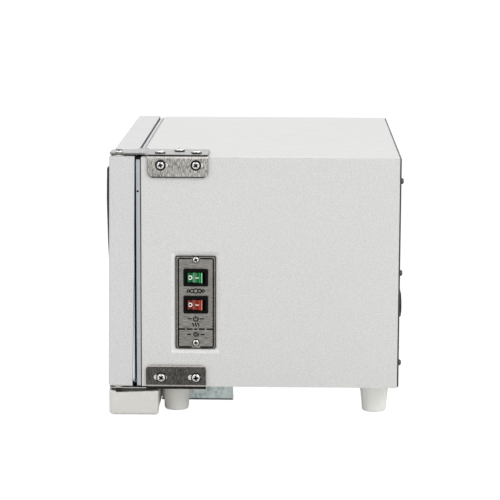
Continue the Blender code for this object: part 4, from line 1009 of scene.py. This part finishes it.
for label, (x, y), spin in zip(("front", "rear"), UNDER_SCREWS, (24, 63)):
    put_screw(f"hinge_screw_under_{label}", under_screw, (x, y, 23.1), "-z", spin, "cabinet", [f"bottom_bracket_screw_{label}"])
for label, z, spin in (("upper", 134.9, 33), ("lower", 63.7, 5)):
    put_screw(f"panel_screw_{label}", plate_screw, (163.7, 73.3, z), "+x", spin, "cabinet", [f"control_plate_screw_{label}"])
for k, (x, z) in enumerate(REAR_SCREWS):
    side, level = ("left", "right")[k // 3], ("lower", "middle", "upper")[k % 3]
    put_screw(f"back_screw_{side}_{level}", rear_screw, (x, 245.3, z), "+y", 17 + 29 * k, "cabinet", [f"rear_screw_{side}_{level}"])

for label, z, facing, head in (("top", 225.3, "+z", 2.16), ("bottom", 23.1, "-z", 0.58)):
    bm = bmesh.new()
    profile = [(0, head * 0.93), (0.8, head * 0.93), (1.1, head)]
    for k in range(1, 9):
        t = math.pi / 2 * k / 8
        profile.append((1.4 + 2.2 * math.sin(t), head * math.cos(t) ** 0.7 if k < 8 else 0.15))
    profile += [(3.55, 0), (2.5, 0), (2.5, -12.4), (1.9, -13), (0, -13)]
    lathe(bm, profile, (*PIVOT, z), facing, 40)
    outward(bm)
    # the crown of the top pin and the head of the bottom one are painted near-black, a painted shade
    for face in bm.faces:
        if face.calc_center_median().z > 225.3 + 0.66 * head or face.calc_center_median().z < 23.2:
            face.material_index = 1
    piece(f"pivot_{label}", bm, [screw_steel, screw_painted_shade], "cabinet", [f"{label}_hinge_pin"], sharp=32, lean=True)


# ------------------------------------------------------------------------------------------ control panel
PANEL = (56.0, 90.2, 58.3, 138.3)
bm = flat(
    [
        rounded(*PANEL, 1.6, 6),
        *[rounded(SWITCH_Y - 9.6, SWITCH_Y + 9.6, zc - 6.6, zc + 6.6, 0.5, 3) for zc in (OZONE_Z, POWER_Z)],
        *[ring(73.3, z, 1.6, 24) for z in (134.9, 63.7)],
    ],
    "x", 162.6, 0.8, 0.12,
)
outward(bm)
piece("switch_plate", bm, [steel_plate], "cabinet", ["control_plate"])

INK_X, INK_T = 163.36, 0.08


def stroke(points, width):
    """A flat inked line of even width through points."""
    left, right = [], []
    pts = [Vector(p) for p in points]
    for i, p in enumerate(pts):
        a = pts[i] - pts[i - 1] if i else pts[1] - pts[0]
        b = pts[i + 1] - pts[i] if i < len(pts) - 1 else a
        d = (a.normalized() + b.normalized()).normalized()
        n = Vector((-d.y, d.x)) * (width / 2 / max(d.dot(a.normalized()), 0.4))
        left.append(tuple(p + n))
        right.append(tuple(p - n))
    return flat([left + right[::-1]], "x", INK_X, INK_T)


def hoop(y, z, radius, width):
    return flat([ring(y, z, radius + width / 2, 36), ring(y, z, radius - width / 2, 36)], "x", INK_X, INK_T)


def printed():
    """Edge line, border line broken at the screws, and a few plain symbols between rules."""
    bm = bmesh.new()
    edge = 0.38
    outer = rounded(PANEL[0] + 0.1, PANEL[1] - 0.1, PANEL[2] + 0.1, PANEL[3] - 0.1, 1.5, 6)
    inner = rounded(PANEL[0] + 0.1 + 2 * edge, PANEL[1] - 0.1 - 2 * edge, PANEL[2] + 0.1 + 2 * edge, PANEL[3] - 0.1 - 2 * edge, 1.0, 6)
    add(bm, flat([outer, inner], "x", INK_X, INK_T))
    y0, y1, z0, z1 = PANEL[0] + 2.5, PANEL[1] - 2.2, PANEL[2] + 1.6, PANEL[3] - 2.4
    gap = 3.6
    for s, side in ((-1, y0), (1, y1)):
        corner = fillet([(73.3 + s * gap, z1, 0), (side, z1, 1.2), (side, z0, 1.2), (73.3 + s * gap, z0, 0)], 5, closed=False)
        add(bm, stroke(corner, 1.25))
    # bubbles below the upper switch
    for k, r in ((-2, 1.0), (-1, 1.5), (0, 1.9), (1, 1.5), (2, 1.0)):
        add(bm, hoop(SWITCH_Y + 3.0 * k - (0.25 if k < 0 else -0.25 if k > 0 else 0), 108.1, r, 0.95))
    # power symbol below the lower switch, between two short rules
    arc = [(SWITCH_Y + 1.9 * math.sin(t), 84.0 + 1.9 * math.cos(t)) for t in [math.radians(38 + 284 * k / 24) for k in range(25)]]
    add(bm, stroke(arc, 1.05))
    add(bm, stroke([(SWITCH_Y, 84.2), (SWITCH_Y, 86.7)], 1.05))
    for s in (-1, 1):
        add(bm, stroke([(SWITCH_Y + s * 3.6, 84.2), (SWITCH_Y + s * 6.8, 84.2)], 1.05))
    # three wavy lines of heat over a long broken rule, and a rolled towel below it
    for k in (-1, 0, 1):
        add(bm, stroke([(SWITCH_Y + 2.2 * k + 0.5 * math.sin(1.9 * t), 77.6 + t) for t in [0.2 * j for j in range(17)]], 0.95))
    for a, b in ((-14.2, -9.0), (-7.8, -2.6), (-1.4, 1.4), (2.6, 7.8), (9.0, 14.2)):
        add(bm, stroke([(SWITCH_Y + a, 75.3), (SWITCH_Y + (a + b) / 2, 75.3), (SWITCH_Y + b, 75.3)], 1.35))
    spiral = [(SWITCH_Y + (0.35 + 0.17 * t) * math.cos(t), 71.1 + (0.35 + 0.17 * t) * math.sin(t) * 0.92) for t in [0.35 * k for k in range(38)]]
    add(bm, stroke(spiral, 0.7))
    for s in (-1, 1):
        add(bm, stroke([(SWITCH_Y + s * 4.0, 70.6), (SWITCH_Y + s * 7.4, 70.6)], 1.1))
    outward(bm)
    return piece("panel_print", bm, [black_ink], "cabinet", (), sharp=50)


printed()


def crown_slope(crown, y):
    """How steeply the rocker's top rises at y."""
    near = [(v, x) for x, v in crown if abs(v - y) < 1.0]
    return (near[-1][1] - near[0][1]) / (near[-1][0] - near[0][0])


def switch(label, zc, finish, end):
    """A snap-in housing with a softened bezel, and the tinted rocker in its well with its off and on marks."""
    bm = bmesh.new()
    section = fillet(
        [(0.0, 163.7, 0), (0.12, 165.5, 0.55), (2.55, 165.5, 0.35), (2.98, 164.6, 0.3), (3.02, 158.8, 0.4), (3.9, 158.8, 0)], 4, closed=False,
    )
    rings = []
    for d, x in section:
        rings.append([(x, y, z) for y, z in rounded(SWITCH_Y - 10.5 + d, SWITCH_Y + 10.5 - d, zc - 7.5 + d, zc + 7.5 - d, max(1.1 - 0.22 * d, 0.3), 5)])
    body = [(163.7, 9.3, 6.3), (146.5, 9.3, 6.3), (143.7, 8.6, 5.6)]
    back = [[(x, y, z) for y, z in rounded(SWITCH_Y - a, SWITCH_Y + a, zc - b, zc + b, 0.6, 5)] for x, a, b in body]
    loft(bm, back[::-1] + rings, caps=(True, True))
    outward(bm)
    piece(f"{label}_housing", bm, [bezel_plastic], "cabinet", [f"{label}_switch_housing"], sharp=38)

    pivot = Vector((161.9, SWITCH_Y, zc))
    tilt = Matrix.Translation(pivot) @ Matrix.Rotation(-math.radians(10), 4, "Z")
    up = math.tan(math.radians(10))
    crown = []
    for k in range(65):
        y = -6.2 + 0.2 * k
        # the valley lies a little towards the off end; a groove stands before the raised end's rib
        lip = 0.24 if 4.7 <= y <= 6.3 or y <= -5.6 else -0.35 if 3.7 <= y <= 4.5 else 0.0
        crown.append((3.0 + up * (math.sqrt((y + 1.5) ** 2 + 0.3) - 1.5) + lip, y))
    outline = [(1.6, -6.1), *crown, (1.6, 6.5), (-1.5, 4.6), (-1.5, -4.6)]
    bm = flat([outline], "z", -4.25, 8.5, 0.3, 2)
    pins = bmesh.new()
    lathe(pins, [(0, 5.1), (0.8, 5.1), (0.95, 4.95), (0.95, -4.95), (0.8, -5.1), (0, -5.1)], steps=24)
    outward(pins)
    add(bm, pins)
    outward(bm)
    # the raised end's face takes the near-black painted shade
    for face in bm.faces:
        if face.normal.y > 0.75 and face.calc_center_median().y > 6.0:
            face.material_index = 2
    marks = bmesh.new()
    # off: a ring on the front half; on: a bar on the rear half, each laid on its slope
    for y, outlines in ((-4.15, [ring(0, 0, 1.92, 32), ring(0, 0, 1.05, 32)]), (1.85, [rounded(-1.5, 1.5, -0.42, 0.42, 0.1, 3)])):
        mark = flat(outlines, "x", -0.03, 0.08)
        height = min(crown, key=lambda p: abs(p[1] - y))[0]
        bmesh.ops.transform(mark, matrix=Matrix.Translation((height + 0.03, y, 0)) @ Matrix.Rotation(-math.atan(crown_slope(crown, y)), 4, "Z"), verts=mark.verts)
        add(marks, mark)
    outward(marks)
    add(bm, marks, 1)
    bmesh.ops.transform(bm, matrix=tilt, verts=bm.verts)
    piece(f"{label}_rocker_lens", bm, [finish, white_ink, end], f"{label}_rocker", [f"{label}_rocker"], sharp=38)


switch("ozone", OZONE_Z, green_lens, green_end_painted_shade)
switch("power", POWER_Z, red_lens, red_end_painted_shade)


# ------------------------------------------------------------------------------------------ power inlet
LUGS = [(-25.0, -4.0, 3.5), (-14.8, -10.7, 3.0), (14.8, -10.7, 3.0), (25.0, -4.0, 3.5), (25.0, 4.0, 3.5), (14.8, 10.7, 3.0), (-14.8, 10.7, 3.0), (-25.0, 4.0, 3.5)]


def inlet():
    """An appliance inlet: a flange with a pointed lug at each end, and three blades in its socket."""
    bm = bmesh.new()
    lugs = [(u, v) for u, v in fillet(LUGS, 6)]
    rings = []
    for d, y in ((0.0, 245.3), (0.0, 247.0), (0.25, 247.6), (0.8, 247.9)):
        rings.append([(INLET_X + u * (1 - d / 25.0), y, INLET_Z + v * (1 - d / 10.7)) for u, v in lugs])
    socket = rounded(-12, 12, -8, 8, (1.6, 1.6, 4.6, 4.6), 13)
    bm_rows = []
    for d, y in ((-0.4, 247.9), (-0.1, 247.75), (0.0, 247.3), (0.0, 233.6), (0.5, 233.0)):
        bm_rows.append([(INLET_X + u * (1 - d / 12.0), y, INLET_Z + v * (1 - d / 8.0)) for u, v in socket])
    outer = loft(bm, rings)
    inner = loft(bm, bm_rows, caps=(False, True))
    face = [bm.edges.get((loop[k], loop[(k + 1) % len(loop)])) for loop in (outer[-1], inner[0]) for k in range(len(loop))]
    bmesh.ops.triangle_fill(bm, use_beauty=True, edges=face)
    shell = [[(x, y, z) for x, z in rounded(INLET_X - a, INLET_X + a, INLET_Z - b, INLET_Z + b, 1.0, 8)] for y, a, b in ((245.3, 13.5, 9.5), (227.0, 13.5, 9.5), (226.0, 12.8, 8.8))]
    back = loft(bm, shell, caps=(False, True))
    under = [bm.edges.get((loop[k], loop[(k + 1) % len(loop)])) for loop in (outer[0], back[0]) for k in range(len(loop))]
    bmesh.ops.triangle_fill(bm, use_beauty=True, edges=under)
    outward(bm)
    # flat blades: two live ones and the longer middle one
    blades = bmesh.new()
    for x, z, tip in ((-7.0, -1.8, 244.0), (7.0, -1.8, 244.0), (0.0, 2.2, 244.8)):
        rows = []
        for y, a, b in ((232.0, 1.0, 2.0), (tip - 1.2, 1.0, 2.0), (tip - 0.4, 0.8, 1.75), (tip, 0.45, 1.3)):
            rows.append([(INLET_X + x + u, y, INLET_Z + z + v) for u, v in rounded(-a, a, -b, b, 0.25, 3)])
        loft(blades, rows, caps=(True, True))
    outward(blades)
    add(bm, blades, 1)
    return piece("inlet_socket_body", bm, [black_plastic, nickel], "cabinet", ["power_inlet"], sharp=38)


inlet()
inlet_screw = screw_mesh("inlet_screw", 2.5, 0.9, 1.4, 6.0, flush=True)
for side, s in (("left", -1), ("right", 1)):
    put_screw(f"inlet_screw_{side}", inlet_screw, (INLET_X + 19.4 * s, 246.95, INLET_Z), "+y", 25 + 40 * s, "cabinet")


# ------------------------------------------------------------------------------------------ feet
def foot(label, x, y):
    """A tapered moulding with a rounded sole and its fixing screw in a deep counterbore."""
    top = 25.7
    profile = [(0, top + 5.5), (2.2, top + 5.5), (2.6, top + 5.0), (2.6, top), (12.45, top), (12.72, top - 0.1), (12.8, top - 0.45)]
    for z in (22.0, 18.5, 15.0, 11.5, 8.0, 6.0):
        profile.append((10.75 + (z - 8.0) * 0.121 if z >= 8.0 else 10.6, z))
    for k in range(1, 10):
        t = math.pi / 2 * k / 9
        profile.append((8.95 + 1.5 * math.cos(t), 3.2 * (1 - math.sin(t)) ** 1.2))
    profile += [(5.4, 0.0), (5.1, 0.3), (4.9, 6.0), (0, 6.0)]
    bm = bmesh.new()
    lathe(bm, profile, (x, y, 0), "+z", 64)
    head = bmesh.new()
    lathe(head, [(0, 4.4), (1.4, 4.5), (3.2, 5.0), (3.7, 5.8), (3.7, 6.2), (0, 6.2)], (x, y, 0), "+z", 32)
    outward(bm)
    outward(head)
    add(bm, head, 1)
    return piece(f"foot_{label}_moulding", bm, [foot_plastic, screw_steel], "cabinet", [f"foot_{label}"], sharp=40)


for a, y in (("front", 55.3), ("rear", 225.6)):
    for b, s in (("left", -1), ("right", 1)):
        foot(f"{a}_{b}", s * 135.0, y)


# ------------------------------------------------------------------------------------------ drip tray and rails
def tray():
    """A shallow moulded trough. Its end walls dip behind the front wall and rise again to the back."""
    bm = bmesh.new()
    section = [(3.0, 0.6)]
    for k in range(1, 9):
        t = math.pi / 2 * k / 8
        section.append((3.0 - 3.0 * math.sin(t), 3.6 - 3.0 * math.cos(t)))
    section += [(0.0, 6.3), (0.0, 13.0), (0.0, 15.0), (0.0, 21.2), (0.12, 21.6), (0.5, 21.8), (1.5, 21.8), (1.88, 21.6), (2.0, 21.2), (2.0, 15.0), (2.0, 5.6)]
    for k in range(1, 7):
        t = math.pi / 2 * k / 6
        section.append((5.0 - 3.0 * math.cos(t), 5.6 - 3.0 * math.sin(t)))
    # the rim's dip along y, from a step just behind the front wall to nothing at the back
    steps = [4.5, 4.8, 5.1, 5.4, 5.7, 6.2, 9.0, 14.0, 19.0, 24.0, 29.0, 33.0]

    def dip(x, y):
        if abs(x) < 160.0 or y < 4.5:
            return 0.0
        fall = min((y - 4.5) / 1.4, 1.0)
        return 1.4 * fall * fall * (3 - 2 * fall) * max(1.0 - (max(y - 6.0, 0.0) / 32.0) ** 1.1, 0.0)

    # between its ends the rear wall slopes forward to the floor, below the guide arms
    def slope(x, y, z):
        if y < 30.0 or z > 6.3:
            return 0.0
        return 2.0 * (6.3 - z) / 5.7 * min(max((160.0 - abs(x)) / 3.0, 0.0), 1.0)

    rings = []
    for d, z in section:
        outline = rounded(-165.6 + d, 165.6 - d, -0.8 + d, 41.5 - d, [max(4.8 - d, 0.8)] * 2 + [max(2.2 - d, 0.4)] * 2, 8)
        # stations along the two end walls, so that the rim can dip there
        full = []
        for k, (x, y) in enumerate(outline):
            full.append((x, y))
            nx, ny = outline[(k + 1) % len(outline)]
            if abs(nx - x) < 1e-3 and abs(ny - y) > 20:
                along = [max(v, min(y, ny) + 0.05 * (i + 1)) for i, v in enumerate(steps)]
                full += [(x, v) for v in (along if ny > y else along[::-1])]
            if y > 30.0 and abs(ny - y) < 1e-3 and abs(nx - x) > 200:
                full += [(v, y) for v in sorted((-160.0, -157.0, 157.0, 160.0), reverse=nx < x)]
        lift = max((z - 15.0) / 6.8, 0.0)
        rings.append([(x, y - slope(x, y, z), z - lift * dip(x, y)) for x, y in full])
    loft(bm, rings, caps=(True, True))
    outward(bm)
    for s in (-1, 1):
        xs = sorted((s * 106.5, s * 118.4))
        arm = flat([rounded(xs[0], xs[1], 38.8, 100.0, (0.2, 0.2, 2.5, 2.5), 5)], "z", 6.4, 3.0, 0.4)
        outward(arm)
        add(bm, arm)
    return piece("drip_tray_moulding", bm, [tray_plastic], "drip_tray", ["drip_tray"], sharp=45)


tray()

for side, s in (("left", -1), ("right", 1)):
    a, b, c = (s * (120.0 - d) for d in (0, 1, 15))
    outline = fillet(
        [(a, 3.6, 1.5), (c, 3.6, 0.2), (c, 4.6, 0.2), (b, 4.6, 0.6), (b, 24.7, 0.6), (c, 24.7, 0.2), (c, 25.7, 0.2), (a, 25.7, 1.5)], 5,
    )
    bm = flat([outline], "y", 41.9, 61.6, 0.12)
    outward(bm)
    # a black strip along the lower bend, a painted shade there
    strip = flat([fillet([(s * 119.1, 3.62, 0.1), (s * 119.99, 3.62, 0.25), (s * 119.99, 4.9, 0.25), (s * 119.1, 4.9, 0.1)], 4)], "y", 41.5, 61.9, 0.15)
    outward(strip)
    add(bm, strip, 1)
    piece(f"rail_{side}", bm, [zinc, black_plastic], "cabinet", [f"tray_rail_{side}"])

# ------------------------------------------------------------------------------------------ pieces kept from the frame
KEPT = {
    "base_pan": zinc, "magnetic_catch": ferrite, "catch_plate": zinc, "chamber_insulation": foam, "door_insulation": foam,
    "heater_mat": mat_silicone, "heater_lead": lead_silicone, "thermostat": phenolic, "thermal_cutout": phenolic,
    "ozone_generator": casing_plastic, "terminal_block": nylon, "mains_lead": cable_sheath, "switch_lead": cable_sheath,
    "top_hinge_bush": nylon, "bottom_hinge_bush": nylon,
}
for node, finish in KEPT.items():
    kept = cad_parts[node]
    kept.data.materials.clear()
    kept.data.materials.append(finish)

# ------------------------------------------------------------------------------------------ floor, light and camera
def floor():
    mesh = bpy.data.meshes.new("floor")
    bm = bmesh.new()
    bmesh.ops.create_grid(bm, x_segments=2, y_segments=2, size=30.0)
    bm.to_mesh(mesh)
    bm.free()
    made = bpy.data.objects.new("floor", mesh)
    scene.collection.objects.link(made)
    finish = bpy.data.materials.new("pale_floor")
    finish.use_nodes = True
    tree = finish.node_tree
    tree.nodes.clear()
    out = tree.nodes.new("ShaderNodeOutputMaterial")
    seen = tree.nodes.new("ShaderNodeAddShader")
    glow = tree.nodes.new("ShaderNodeEmission")
    glow.inputs["Color"].default_value = (1, 1, 1, 1)
    glow.inputs["Strength"].default_value = 1.0
    matte = tree.nodes.new("ShaderNodeBsdfDiffuse")
    matte.inputs["Color"].default_value = (0.09, 0.09, 0.09, 1)
    tree.links.new(glow.outputs[0], seen.inputs[0])
    tree.links.new(matte.outputs[0], seen.inputs[1])
    bounce = tree.nodes.new("ShaderNodeBsdfDiffuse")
    bounce.inputs["Color"].default_value = (0.88, 0.88, 0.875, 1)
    ray = tree.nodes.new("ShaderNodeLightPath")
    mix = tree.nodes.new("ShaderNodeMixShader")
    tree.links.new(ray.outputs["Is Camera Ray"], mix.inputs[0])
    tree.links.new(bounce.outputs[0], mix.inputs[1])
    tree.links.new(seen.outputs[0], mix.inputs[2])
    tree.links.new(mix.outputs[0], out.inputs["Surface"])
    mesh.materials.append(finish)


floor()


def sky():
    """A pale studio: bright walls all round, darker towards the ceiling."""
    world = bpy.data.worlds.new("studio")
    world.use_nodes = True
    scene.world = world
    tree = world.node_tree
    tree.nodes.clear()
    out = tree.nodes.new("ShaderNodeOutputWorld")
    seen = tree.nodes.new("ShaderNodeBackground")
    seen.inputs["Color"].default_value = (1, 1, 1, 1)
    seen.inputs["Strength"].default_value = 1.05
    where = tree.nodes.new("ShaderNodeTexCoord")
    split = tree.nodes.new("ShaderNodeSeparateXYZ")
    tree.links.new(where.outputs["Generated"], split.inputs[0])
    height = tree.nodes.new("ShaderNodeMapRange")
    for key, value in (("From Min", 0.42), ("From Max", 0.86), ("To Min", 0.92), ("To Max", 0.26)):
        height.inputs[key].default_value = value
    tree.links.new(split.outputs[2], height.inputs["Value"])
    soft = tree.nodes.new("ShaderNodeBackground")
    soft.inputs["Color"].default_value = (1, 1, 1, 1)
    tree.links.new(height.outputs["Result"], soft.inputs["Strength"])
    ray = tree.nodes.new("ShaderNodeLightPath")
    mix = tree.nodes.new("ShaderNodeMixShader")
    tree.links.new(ray.outputs["Is Camera Ray"], mix.inputs[0])
    tree.links.new(soft.outputs[0], mix.inputs[1])
    tree.links.new(seen.outputs[0], mix.inputs[2])
    tree.links.new(mix.outputs[0], out.inputs["Surface"])


sky()


def softbox(name, where, aim, size, power):
    data = bpy.data.lights.new(name, "AREA")
    data.shape = "RECTANGLE"
    data.size, data.size_y = size
    data.energy = power
    made = bpy.data.objects.new(name, data)
    scene.collection.objects.link(made)
    made.location = where
    made.rotation_euler = (Vector(aim) - Vector(where)).to_track_quat("-Z", "Y").to_euler()
    made.visible_camera = False
    return made


softbox("key", (1.6, 1.3, 1.5), (0.0, 0.0, 0.12), (0.9, 0.9), 16.0)
softbox("fill", (1.2, -1.4, 1.9), (0.0, 0.0, 0.12), (1.2, 1.2), 9.0)
softbox("back", (-1.2, 0.0, 1.8), (0.0, 0.0, 0.12), (1.2, 1.2), 16.4)


def camera():
    """At the picture's own angle: a long lens on the right side, a little above."""
    data = bpy.data.cameras.new("camera")
    data.sensor_width = 36.0
    data.lens = 149.56
    data.clip_start, data.clip_end = 0.05, 100.0
    made = bpy.data.objects.new("camera", data)
    scene.collection.objects.link(made)
    yaw, pitch, roll = -0.02252, 0.16668, 0.00366
    ahead = Vector((-math.cos(pitch) * math.cos(yaw), math.cos(pitch) * math.sin(yaw), -math.sin(pitch)))
    right = ahead.cross(Vector((0, 0, 1))).normalized()
    up = right.cross(ahead)
    r = right * math.cos(roll) + up * math.sin(roll)
    u = -right * math.sin(roll) + up * math.cos(roll)
    turn = Matrix((r, u, -ahead)).transposed().to_4x4()
    made.matrix_world = Matrix.Translation(at(1883.43, 157.56, 432.95)) @ turn
    scene.camera = made


camera()
scene.view_settings.view_transform = "Standard"

bpy.context.view_layer.update()
